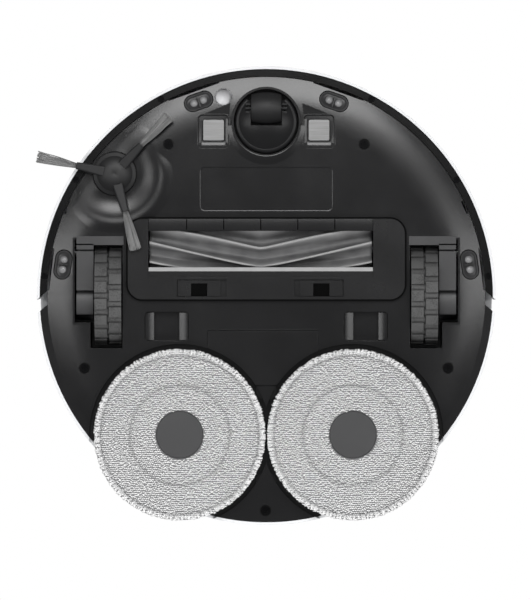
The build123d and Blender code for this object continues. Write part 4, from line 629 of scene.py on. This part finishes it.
ring = fin_outline()
across = np.linspace(ends[0], ends[1], RING_COUNT)
reach = np.where(across < FIN_APEX_X, FIN_APEX_X - ends[0], ends[1] - FIN_APEX_X)
away = np.sqrt((across - FIN_APEX_X) ** 2 + APEX_ROUND ** 2) - APEX_ROUND
turns = FIN_TWIST * away / (np.sqrt(reach ** 2 + APEX_ROUND ** 2) - APEX_ROUND)
angles = np.radians(ring[None, :, 1] + turns[:, None] + 90.0)
points = np.stack([np.broadcast_to(across[:, None], angles.shape),
                   brush_y + ring[None, :, 0] * np.cos(angles),
                   brush_z + ring[None, :, 0] * np.sin(angles)], axis=2)
# Painted highlight: the fins' lips are coloured paler, and their roots darker as painted shade.
tips = np.broadcast_to(0.15 + 0.85 * ring[None, :, 2] ** 3, angles.shape)
faces = grid_faces(RING_COUNT, len(ring), True)
faces += [row_face(0, len(ring))[::-1], row_face(RING_COUNT - 1, len(ring))]
fins = piece("main_brush_fins", points.reshape(-1, 3), faces, "main_brush", fin_rubber,
             tips.ravel())
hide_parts("brush_fins")
print("fins:", FIN_COUNT, "rings along the brush:", RING_COUNT)

# %% [markdown]
# ## Soft forms of the belly
# The belly is flat in the middle and curls up towards its rim, which is what catches the light at the
# front. Round the side brush it sinks into a bowl with a soft ridge about it, so that hair is not wound
# under the hub. Behind the caster a low crescent leads down to its socket. These forms are fractions of a
# millimetre to a few millimetres high, laid over the solids as thin skins that follow the belly's curve.

# %% Belly curve and skins
BELLY_Z, FLAT_R, EDGE_R, EDGE_RISE = 12.0, 136.0, 167.0, 3.5
CURL_R = ((EDGE_R - FLAT_R) ** 2 + EDGE_RISE ** 2) / (2 * EDGE_RISE)


def belly_height(x, y):
    """Height of the belly's surface: flat, then an arc up to the rim."""
    past = np.clip(np.hypot(x, y) - FLAT_R, 0, EDGE_R - FLAT_R)
    return BELLY_Z + CURL_R - np.sqrt(CURL_R ** 2 - past ** 2)


def loft(name, loops, body="chassis", material=charcoal_abs, closed=True, capped=False,
         crisp=50):
    """A skin through rows of points. Capped closes the last row."""
    rows = np.asarray(loops, float)
    faces = grid_faces(rows.shape[0], rows.shape[1], closed)
    if capped:
        faces.append(row_face(rows.shape[0] - 1, rows.shape[1]))
    return piece(name, rows.reshape(-1, 3), faces, body, material, crisp=crisp)


def smooth(value, low, high):
    """From 0 to 1 between two limits, with soft ends."""
    share = np.clip((value - low) / (high - low), 0, 1)
    return share * share * (3 - 2 * share)


print("the belly curls up on an arc of", round(CURL_R, 1), "mm")

# %% Bowl of the side brush
BOWL_IN, BOWL_OUT = 17.2, 47.0
BOWL_DEPTH = 1.25
BOWL_SHALLOW = 0.3  # share of the depth that is left on the rim's side
REAR_DEEPER = 0.3  # how much deeper the bowl gets towards the rear
BOWL_SLOPE = (18.6, 33.6)  # radii between which the bowl rises
RIDGE_IN = 32.4
RIDGE_HEIGHT = 0.55
RIDGE_LEAST = 4.0  # its least width
RIDGE_CREST = 0.45  # where the crest lies between the ridge's two feet
SCREW_ANGLE, SCREW_GAP = 153.0, 6.8  # the skin draws back from the belly screw beside it
SCREW_SPREAD = 15.0  # degrees over which it does so
SKIN = 0.08  # how far the skin stands off the belly
FEATHER = 12.0  # length over which its outer edge sinks in
BOWL_ROOF = 16.2
BELLY_REACH = 166.2

turn = np.linspace(0, 2 * math.pi, 180, endpoint=False)
toward = hub[0] * np.cos(turn) + hub[1] * np.sin(turn)
room = -toward + np.sqrt(toward ** 2 + BELLY_REACH ** 2 - hub[0] ** 2 - hub[1] ** 2)
screw_side = np.exp(-((np.degrees(turn) - SCREW_ANGLE) / SCREW_SPREAD) ** 2)
outer = np.minimum(BOWL_OUT - SCREW_GAP * screw_side, room)
inward = smooth(-toward / math.hypot(hub[0], hub[1]), -0.3, 0.6)  # 1 towards the middle, 0 at the rim
bowl = []
for step in np.linspace(0, 1, 60):
    radius = BOWL_IN + (outer - BOWL_IN) * step
    x = hub[0] + radius * np.cos(turn)
    y = hub[1] + radius * np.sin(turn)
    deep = BOWL_DEPTH * (BOWL_SHALLOW + (1 - BOWL_SHALLOW) * inward)
    deep *= 1 + REAR_DEEPER * np.clip(-np.sin(turn), 0, 1)
    dip = deep * (1 - smooth(radius, *BOWL_SLOPE))
    over = (radius - RIDGE_IN) / np.maximum(outer - RIDGE_IN, RIDGE_LEAST)
    crest = smooth(over, 0, RIDGE_CREST) - smooth(over, RIDGE_CREST, 1)
    ridge = RIDGE_HEIGHT * inward * (1 - 0.85 * screw_side) * crest
    sink = SKIN * (2 * smooth(radius, outer - FEATHER, outer) - 1)
    z = np.minimum(belly_height(x, y) + sink + dip - ridge, BOWL_ROOF)
    bowl.append(np.stack([x, y, z], axis=1))
loft("side_brush_bowl", bowl)
print("bowl rows:", len(bowl))

# %% Collar of the caster
COLLAR_DROP = 3.7  # the outer arc's middle lies this far behind the caster's
COLLAR_SPAN = (186, 354)
COLLAR_R = 29.4
COLLAR_IN = 25.6
COLLAR_FADE = 4.0  # the crescent loses its height where it gets narrower than this
# Rows of the crescent: share of the way out, height in millimetres
COLLAR_ROWS = ((0.0, -0.6), (0.0, 0.75), (0.06, 0.97), (0.14, 1.0), (0.5, 0.62), (1.0, -0.05))
caster, _ = middle("caster_socket")
turn = np.linspace(*np.radians(COLLAR_SPAN), 72)
toward = COLLAR_DROP * np.sin(turn)
outer = -toward + np.sqrt(toward ** 2 + COLLAR_R ** 2 - COLLAR_DROP ** 2)
collar = []
for step, height in COLLAR_ROWS:
    radius = COLLAR_IN + np.maximum(outer - COLLAR_IN, 0.02) * step
    x = caster[0] + radius * np.cos(turn)
    y = caster[1] + radius * np.sin(turn)
    rise = height * np.clip((outer - COLLAR_IN) / COLLAR_FADE, 0, 1)
    collar.append(np.stack([x, y, belly_height(x, y) - rise], axis=1))
loft("caster_collar", collar, closed=False)
print("collar rows:", len(collar))

# %% [markdown]
# ## Sensors and charging pads
# Four windows look down for stairs. Each is a cup with a wall across it, an infrared lamp on one side and
# a detector on the other. Beside the caster a vapour-plated dish hears the carpet. The charging pads sit
# in shallow sunk frames, whose lower walls face the light, with a small wedge that guides the dock's
# springs. The bare panel behind the caster is sunk by less than half a millimetre, and a bevel round it
# makes that visible.

# %% Cliff sensors
CLIFF_ANGLES = (19.2, -19.2, 81.3, -81.3)
CLIFF_INSET = 10.0
CUP = (22.6, 12.8)
LENS_PITCH = 7.4
CUP_DEPTH = 3.4
CUP_ROWS = ((0.5, 0.6), (0.55, 0.12), (0.95, 0.1), (1.5, 0.9), (2.3, CUP_DEPTH))  # inset, depth
CUP_WALL = (0.9, 9.2)  # thickness and length of the wall across a cup
CUP_WALL_TOP = 0.5
EYE_ROWS = ((3.1, 0.0), (3.0, 0.6), (2.5, 1.4), (1.7, 1.9), (0.7, 2.2))  # radius, height


def rounded_box(width, depth, corner, count=48):
    """Points round a rectangle with round corners. Where these take up a side, it is a slot or a circle."""
    around = np.linspace(0, 2 * math.pi, count, endpoint=False) + math.pi / count
    return np.stack([corner * np.cos(around) + (width / 2 - corner) * np.sign(np.cos(around)),
                     corner * np.sin(around) + (depth / 2 - corner) * np.sign(np.sin(around))], axis=1)


def set_on_belly(flat, centre, angle, sink):
    """Points of a flat loop, turned and set on the belly, sunk into it by a depth."""
    c, s = math.cos(angle), math.sin(angle)
    x = centre[0] + flat[:, 0] * c - flat[:, 1] * s
    y = centre[1] + flat[:, 0] * s + flat[:, 1] * c
    return np.stack([x, y, belly_height(x, y) + sink], axis=1)


cups, eyes = [], []
for number, angle in enumerate(CLIFF_ANGLES):
    lean = math.radians(angle)
    place = ((EDGE_R - CLIFF_INSET) * math.sin(lean), (EDGE_R - CLIFF_INSET) * math.cos(lean))
    rows = []
    for inset, sink in CUP_ROWS:
        slot = rounded_box(CUP[0] - 2 * inset, CUP[1] - 2 * inset, CUP[1] / 2 - inset)
        rows.append(set_on_belly(slot, place, -lean, sink))
    cups.append(loft(f"cliff_cup_{number}", rows, "chassis", module_abs, capped=True, crisp=75))
    wall = np.array([(-0.5, -0.5), (0.5, -0.5), (0.5, 0.5), (-0.5, 0.5)]) * CUP_WALL
    rows = [set_on_belly(wall, place, -lean, sink) for sink in (CUP_DEPTH, CUP_WALL_TOP)]
    loft(f"cliff_wall_{number}", rows, "chassis", black_abs, capped=True)
    for side in (-1, 1):
        reach = side * LENS_PITCH / 2
        spot = (place[0] + reach * math.cos(lean), place[1] - reach * math.sin(lean))
        rows = [set_on_belly(rounded_box(2 * r, 2 * r, r, 24), spot, 0, CUP_DEPTH - h) for r, h in EYE_ROWS]
        name = f"cliff_eye_{number}_{(side + 1) // 2}"
        eyes.append(loft(name, rows, "chassis", lens_grey, capped=True))
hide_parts("cliff_sensor_housings")
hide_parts("cliff_sensor_lenses")
print("cups:", len(cups), "eyes:", len(eyes))

# %% Carpet sensor
# Rows of the dish: share of the sensor's radius, millimetres added to it, depth
DISH_ROWS = ((1.0, 0.1, 0.0), (1.0, -0.05, -0.06), (1.0, -0.2, 0.02), (0.85, 0, 0.17), (0.7, 0, 0.31),
             (0.5, 0, 0.45), (0.25, 0, 0.56), (0, 0.3, 0.6))
disc_mid, disc_half = middle("carpet_sensor")
rows = []
for share, more, sink in DISH_ROWS:
    radius = share * disc_half[0] + more
    rows.append(set_on_belly(rounded_box(2 * radius, 2 * radius, radius), disc_mid, 0, sink))
dish = loft("carpet_dish", rows, "chassis", sensor_silver, capped=True)
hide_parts("carpet_sensor")
print("dish radius:", round(disc_half[0], 1), "mm")

# %% Charging pads and bare panel
BEZEL = 23.2
CONTACT = 15.8
# Rows of a frame: wider than the bezel by, taller than wide by, corner radius, depth
FRAME_ROWS = ((1.8, 2.0, 4.4, 0.02), (1.3, 2.0, 4.2, -0.15), (0.6, 2.0, 3.8, -0.05), (-1.0, 2.0, 3.0, 0.9),
              (-6.4, 0, 1.6, 0.9), (-6.9, 0, 1.4, 1.6))
WEDGE = ((27.4, 147.0), (47.6, 138.9), (28.2, 138.6))  # corners on the right-hand side
WEDGE_HEIGHTS = (0.7, 0.12, 0.02)
WEDGE_ROOT = 0.3
low, high = [np.array(corner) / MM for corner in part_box("charge_contacts")]
for name, x in (("right", high[0] - CONTACT / 2), ("left", low[0] + CONTACT / 2)):
    place = (x, (low[1] + high[1]) / 2)
    rows = []
    for grow, tall, corner, sink in FRAME_ROWS:
        flat = rounded_box(BEZEL + grow, BEZEL + grow + tall, corner) - (0, tall / 2)
        rows.append(set_on_belly(flat, place, 0, sink))
    loft("charge_frame_" + name, rows, capped=True)
    corners = np.array([(SIDES[name] * x, y) for x, y in WEDGE])
    wedge = np.column_stack([corners, belly_height(*corners.T) - WEDGE_HEIGHTS])
    base = np.column_stack([corners, belly_height(*corners.T) + WEDGE_ROOT])
    loft("charge_wedge_" + name, [base, wedge], capped=True)
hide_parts("charge_bezels")

PANEL = (101.0, 33.2, 3.5)  # width, depth and corner radius of the bare panel
PANEL_Y = 81.4
PANEL_ROWS = ((0.3, -0.02), (-0.7, 0.1), (-0.75, 0.38))  # wider than the panel by, depth
rows = [set_on_belly(rounded_box(PANEL[0] + grow, PANEL[1] + grow, PANEL[2]), (0, PANEL_Y), 0, sink)
        for grow, sink in PANEL_ROWS]
loft("panel_bevel", rows)

# %% [markdown]
# ## Caster and drive wheels
# The caster's dome has a skirt that nearly fills its socket, and two little combs hold the axle beside
# the wheel. A plate closes the front of each wheel well. Behind it a second plate and a round gearbox
# cover belong to the sprung arm, so they ride the arm and swing out with it when the wheel drops. A thin
# lip stays on the body and hides the gap between the two plates.

# %% Caster skirt and axle combs
SKIRT = ((20.4, 0.05), (21.6, -0.15), (22.9, 0.2), (23.7, 1.1), (23.9, 2.3))  # radius, height over the rim
SKIRT_OPEN = 41.0  # degrees left free at each side of the wheel
DOME_RIM_Z = 11.6
COMB_TEETH = (-3.0, 0.0, 3.0)
COMB_X = (0.5, 4.3)  # from the wheel's end
COMB_Z = (-4.2, -2.1)  # from the axle
COMB_HALF = 0.95
wheel, wheel_half = middle("caster_wheel")
turn = np.radians(np.linspace(90 + SKIRT_OPEN, 450 - SKIRT_OPEN, 120))
rows = []
for radius, height in SKIRT:
    x, y = caster[0] + radius * np.cos(turn), caster[1] + radius * np.sin(turn)
    rows.append(np.stack([x, y, np.full_like(turn, DOME_RIM_Z + height)], axis=1))
loft("caster_skirt", rows, "caster_fork", black_abs, closed=False)
for way in (-1, 1):
    for tooth, offset in enumerate(COMB_TEETH):
        sides = sorted(way * (wheel_half[0] + gap) for gap in COMB_X)
        low = (wheel[0] + sides[0], wheel[1] + offset - COMB_HALF, wheel[2] + COMB_Z[0])
        high = (wheel[0] + sides[1], wheel[1] + offset + COMB_HALF, wheel[2] + COMB_Z[1])
        block(f"axle_comb_{(way + 1) // 2}_{tooth}", low, high, "caster_fork", black_abs)
print("skirt rows:", len(SKIRT), "comb teeth:", 2 * len(COMB_TEETH))

# %% Wheel plates and gearbox covers
WELL_X = (108.8, 144.8)
PLATE_Y, PLATE_Z = (38.6, 45.4), (11.75, 14.0)
ARM_PLATE_X = 131.8  # inner side of the plate over the arm
ARM_PLATE_Y, ARM_PLATE_Z = (4.0, 33.9), (12.0, 13.2)
LIP_Y, LIP_Z = (35.2, 39.6), (11.75, 11.95)  # the arm's plate swings clear of the lip before it
COVER_Y, COVER_HALF = -6.0, 8.4  # middle and half width of the round gearbox cover behind that plate
COVER_Z, COVER_BULGE = 14.6, 2.4
turn = np.linspace(0, math.pi, 17)
gearbox = np.column_stack([COVER_Y + COVER_HALF * np.cos(turn), COVER_Z - COVER_BULGE * np.sin(turn)])
for name, way in SIDES.items():
    arm = "wheel_arm_" + name
    for label, inner, y, z, body in (("well_plate_", WELL_X[0], PLATE_Y, PLATE_Z, "chassis"),
                                     ("arm_plate_", ARM_PLATE_X, ARM_PLATE_Y, ARM_PLATE_Z, arm),
                                     ("well_lip_", ARM_PLATE_X, LIP_Y, LIP_Z, "chassis")):
        sides = sorted((way * inner, way * WELL_X[1]))
        block(label + name, (sides[0], y[0], z[0]), (sides[1], y[1], z[1]), body, module_abs)
    rows = [[(way * x, y, z) for x in (ARM_PLATE_X + 0.3, WELL_X[1])] for y, z in gearbox]
    loft("gearbox_cover_" + name, rows, arm, module_abs, closed=False)
print("plates, lips and covers of both wheels are in place")

# %% [markdown]
# ## Pockets and brush guard
# The pockets have sloping ledges inside. The guard over the brush is parted from the belly by a gap whose
# shade is painted as a black ring that gives no highlight, with a flat lip of the guard's own plastic inside
# it. A strip in six tiles runs along the mouth in front of the brush, and a black sheet without highlight
# behind it paints the shade in the slits. Each latch has a deep notch for a fingertip, so it is built anew
# from a frame and a sunk floor, and the notch's sloping floor is painted black as shade.

# %% Pocket ledges
POCKET = (76.0, -23.4)
LEDGE_Y = 10.4
LEDGE_ROWS = ((9.6, 19.6), (9.6, 16.2), (13.2, 15.2), (16.4, 15.0))  # from the pocket's middle, height
for name, way in SIDES.items():
    for end in (-1, 1):
        rows = [[(way * (POCKET[0] + end * x), POCKET[1] + y, z) for y in (-LEDGE_Y, LEDGE_Y)]
                for x, z in LEDGE_ROWS]
        loft(f"pocket_ledge_{name}_{(end + 1) // 2}", rows, closed=False)
print("ledges: two in each pocket")

# %% Guard seam and mouth strip
GUARD_R = 12.0
GUARD_SKIN = 0.05  # how far the thin pieces stand off the guard
low, high = [np.array(corner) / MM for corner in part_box("brush_guard")]
guard_mid, guard_half = (low + high) / 2, (high - low) / 2
# Painted shade: the black ring stands for the shade in the gap round the guard.
for name, grows, material in (("guard_gap_shade", (0.7, -0.6), gap_shade_abs), ("guard_lip", (-0.6, -2.6), guard_abs)):
    rows = []
    for grow in grows:
        flat = rounded_box(2 * (guard_half[0] + grow), 2 * (guard_half[1] + grow), GUARD_R + grow)
        rows.append(np.column_stack([guard_mid[:2] + flat, np.full(len(flat), low[2] - GUARD_SKIN)]))
    loft(name, rows, "chassis", material)

MOUTH_X, MOUTH_Y = (-81.5, 90.0), 49.4
SLIT_PITCH, SLIT_W, SLITS = 28.25, 0.8, 5
SLIT_SHADE_T = 0.008  # thickness of the dark sheet behind the slits
slits = (MOUTH_X[0] + MOUTH_X[1]) / 2 + SLIT_PITCH * (np.arange(SLITS) - (SLITS - 1) / 2)
ends = [MOUTH_X[0], *slits, MOUTH_X[1]]
# Painted shade: a black sheet without highlight behind the tiles, which shows as shade in the slits.
block("slit_shade_sheet", (MOUTH_X[0], MOUTH_Y + 0.8, low[2] - GUARD_SKIN - SLIT_SHADE_T),
      (MOUTH_X[1], high[1] - 1.1, low[2] - GUARD_SKIN), "chassis", gap_shade_abs)
for tile in range(SLITS + 1):
    x0, x1 = ends[tile] + SLIT_W / 2, ends[tile + 1] - SLIT_W / 2
    rows = [[(x, y, low[2] - drop) for x in (x0, x1)]
            for y, drop in ((high[1] - 0.7, 0.06), (MOUTH_Y + 0.6, 0.75), (MOUTH_Y + 0.1, 0.6))]
    loft(f"mouth_strip_{tile}", rows, "chassis", guard_abs, closed=False)
print("tiles of the mouth strip:", SLITS + 1)

# %% Latches
NOTCH_W = 12.4
NOTCH_WALL, NOTCH_DEPTH, NOTCH_LIP = 2.2, 1.9, 0.7  # wall in front, floor, and edge of the sloping floor
LATCH_GAP = 0.55
for name in SIDES:
    node = "guard_latch_" + name
    mid, half = middle(node)
    inset = np.array([LATCH_GAP, LATCH_GAP, 0.0])
    low, high = mid - half + inset, mid + half - inset
    notch_x = (mid[0] - NOTCH_W / 2, mid[0] + NOTCH_W / 2)
    notch_y = high[1] - NOTCH_WALL
    floor_z = low[2] + NOTCH_DEPTH
    # Painted shade: the notch's sloping floor is the near-black plastic without highlight, and the flat floor
    # is black.
    slope = [[(x, y, z) for x in (notch_x[0] - 0.2, notch_x[1] + 0.2)]
             for y, z in ((notch_y + 0.2, low[2] + NOTCH_LIP), (low[1], floor_z - 0.05))]
    loft(f"latch_{name}_slope", slope, node, gap_shade_abs, closed=False)
    latch = block(f"latch_{name}_floor", (low[0], low[1], floor_z), high, node, black_abs)
    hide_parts(node)
    for label, corner, opposite in (("a", (low[0], low[1]), (notch_x[0], high[1])),
                                    ("b", (notch_x[1], low[1]), (high[0], high[1])),
                                    ("c", (notch_x[0], notch_y), (notch_x[1], high[1]))):
        block(f"latch_{name}_{label}", (*corner, low[2]), (*opposite, floor_z), node, guard_abs)
print("latches: 2, with notches", NOTCH_W, "mm wide")

# %% [markdown]
# ## Floor, light and camera
# The picture is taken from under the floor, straight up, as if the robot stood on a sheet of glass over
# white paper. The floor is a real surface from above, and from below it is left out. The light of the
# picture comes from one soft box below the front edge, which brightens the curled rim there. A wider and
# dimmer box nearer the middle lets that light fade slowly over the belly, and two weak ones stand at the
# sides. A fill lamp behind brightens the cloth of the pads, and is kept out of reflections so that the
# glossy belly does not mirror it. A lamp overhead is for looking at the robot from above.

# %% Floor and surroundings
ROOM_LIGHT = 0.195  # light from all round, against the white ground of the picture
PAPER_MM = 1.5  # size of the paper's mottling


def floor_paint():
    """White paper from above. Its under face lets the picture through."""
    material, tree, shader, place = start_material("white_paper", Roughness=0.9, IOR=1.45)
    tint = two_tones(tree, noise(tree, place, PAPER_MM, detail=3.0), "#e6e6e6", "#eeeeee")
    tree.links.new(tint, shader.inputs["Base Color"])
    under = add(tree, "NewGeometry").outputs["Backfacing"]
    gone = add(tree, "BsdfTransparent").outputs["BSDF"]
    mixed = add(tree, "MixShader", {0: under, 1: shader.outputs["BSDF"], 2: gone})
    tree.links.new(mixed.outputs["Shader"], tree.nodes["Material Output"].inputs["Surface"])
    return material


bpy.ops.mesh.primitive_plane_add(size=6.0)
floor = bpy.context.object
floor.name = "floor"
floor.data.materials.append(floor_paint())
for ray in ("shadow", "diffuse", "glossy", "transmission"):
    setattr(floor, "visible_" + ray, False)

world = bpy.data.worlds.new("white_ground")
scene.world = world
world.use_nodes = True
sky = world.node_tree
ground = sky.nodes["Background"]
seen = add(sky, "LightPath").outputs["Is Camera Ray"]
level = add(sky, "MapRange", {"Value": seen, "To Min": ROOM_LIGHT, "To Max": 1.0}).outputs["Result"]
ground.inputs["Color"].default_value = linear("#ffffff")
sky.links.new(level, ground.inputs["Strength"])
scene.view_settings.view_transform = "Standard"
print("floor and white ground are in place")

# %% Lamps


def soft_box(name, place, aim, size, watts):
    """A rectangular lamp that faces a point."""
    lamp = bpy.data.lights.new(name, "AREA")
    lamp.shape = "RECTANGLE"
    lamp.size, lamp.size_y = size
    lamp.energy = watts
    holder = bpy.data.objects.new(name, lamp)
    holder.location = place
    holder.rotation_euler = (Vector(aim) - Vector(place)).to_track_quat("-Z", "Y").to_euler()
    scene.collection.objects.link(holder)
    return holder


soft_box("front_box", (0.0, 0.68, -1.25), (0, 0.1, 0), (0.78, 0.45), 8.0)
soft_box("near_box", (0.0, 0.4, -1.3), (0, 0.05, 0), (1.1, 0.26), 1.0)
soft_box("right_box", (0.85, 0.1, -1.25), (0, 0, 0), (0.3, 0.9), 3.4)
soft_box("left_box", (-0.85, 0.1, -1.25), (0, 0, 0), (0.3, 0.9), 3.4)
soft_box("overhead", (0.3, -0.5, 1.4), (0, 0, 0), (0.8, 0.8), 12.0)
soft_box("pad_fill", (0.0, -0.6, -0.7), (0, -0.12, 0), (0.9, 0.3), 5.4).visible_glossy = False
print("lamps: 6")

# %% Camera
LENS = 500.0  # a long lens from far off, so that the picture is nearly flat
CAMERA_AT = (0.0006, -0.0033, -6.345)
camera = bpy.data.objects.new("camera", bpy.data.cameras.new("camera"))
camera.data.lens = LENS
camera.data.clip_start = 0.05
camera.data.clip_end = 50.0
camera.location = CAMERA_AT
camera.rotation_euler = (0.0, math.pi, 0.0)
scene.collection.objects.link(camera)
scene.camera = camera
print("camera at", CAMERA_AT)
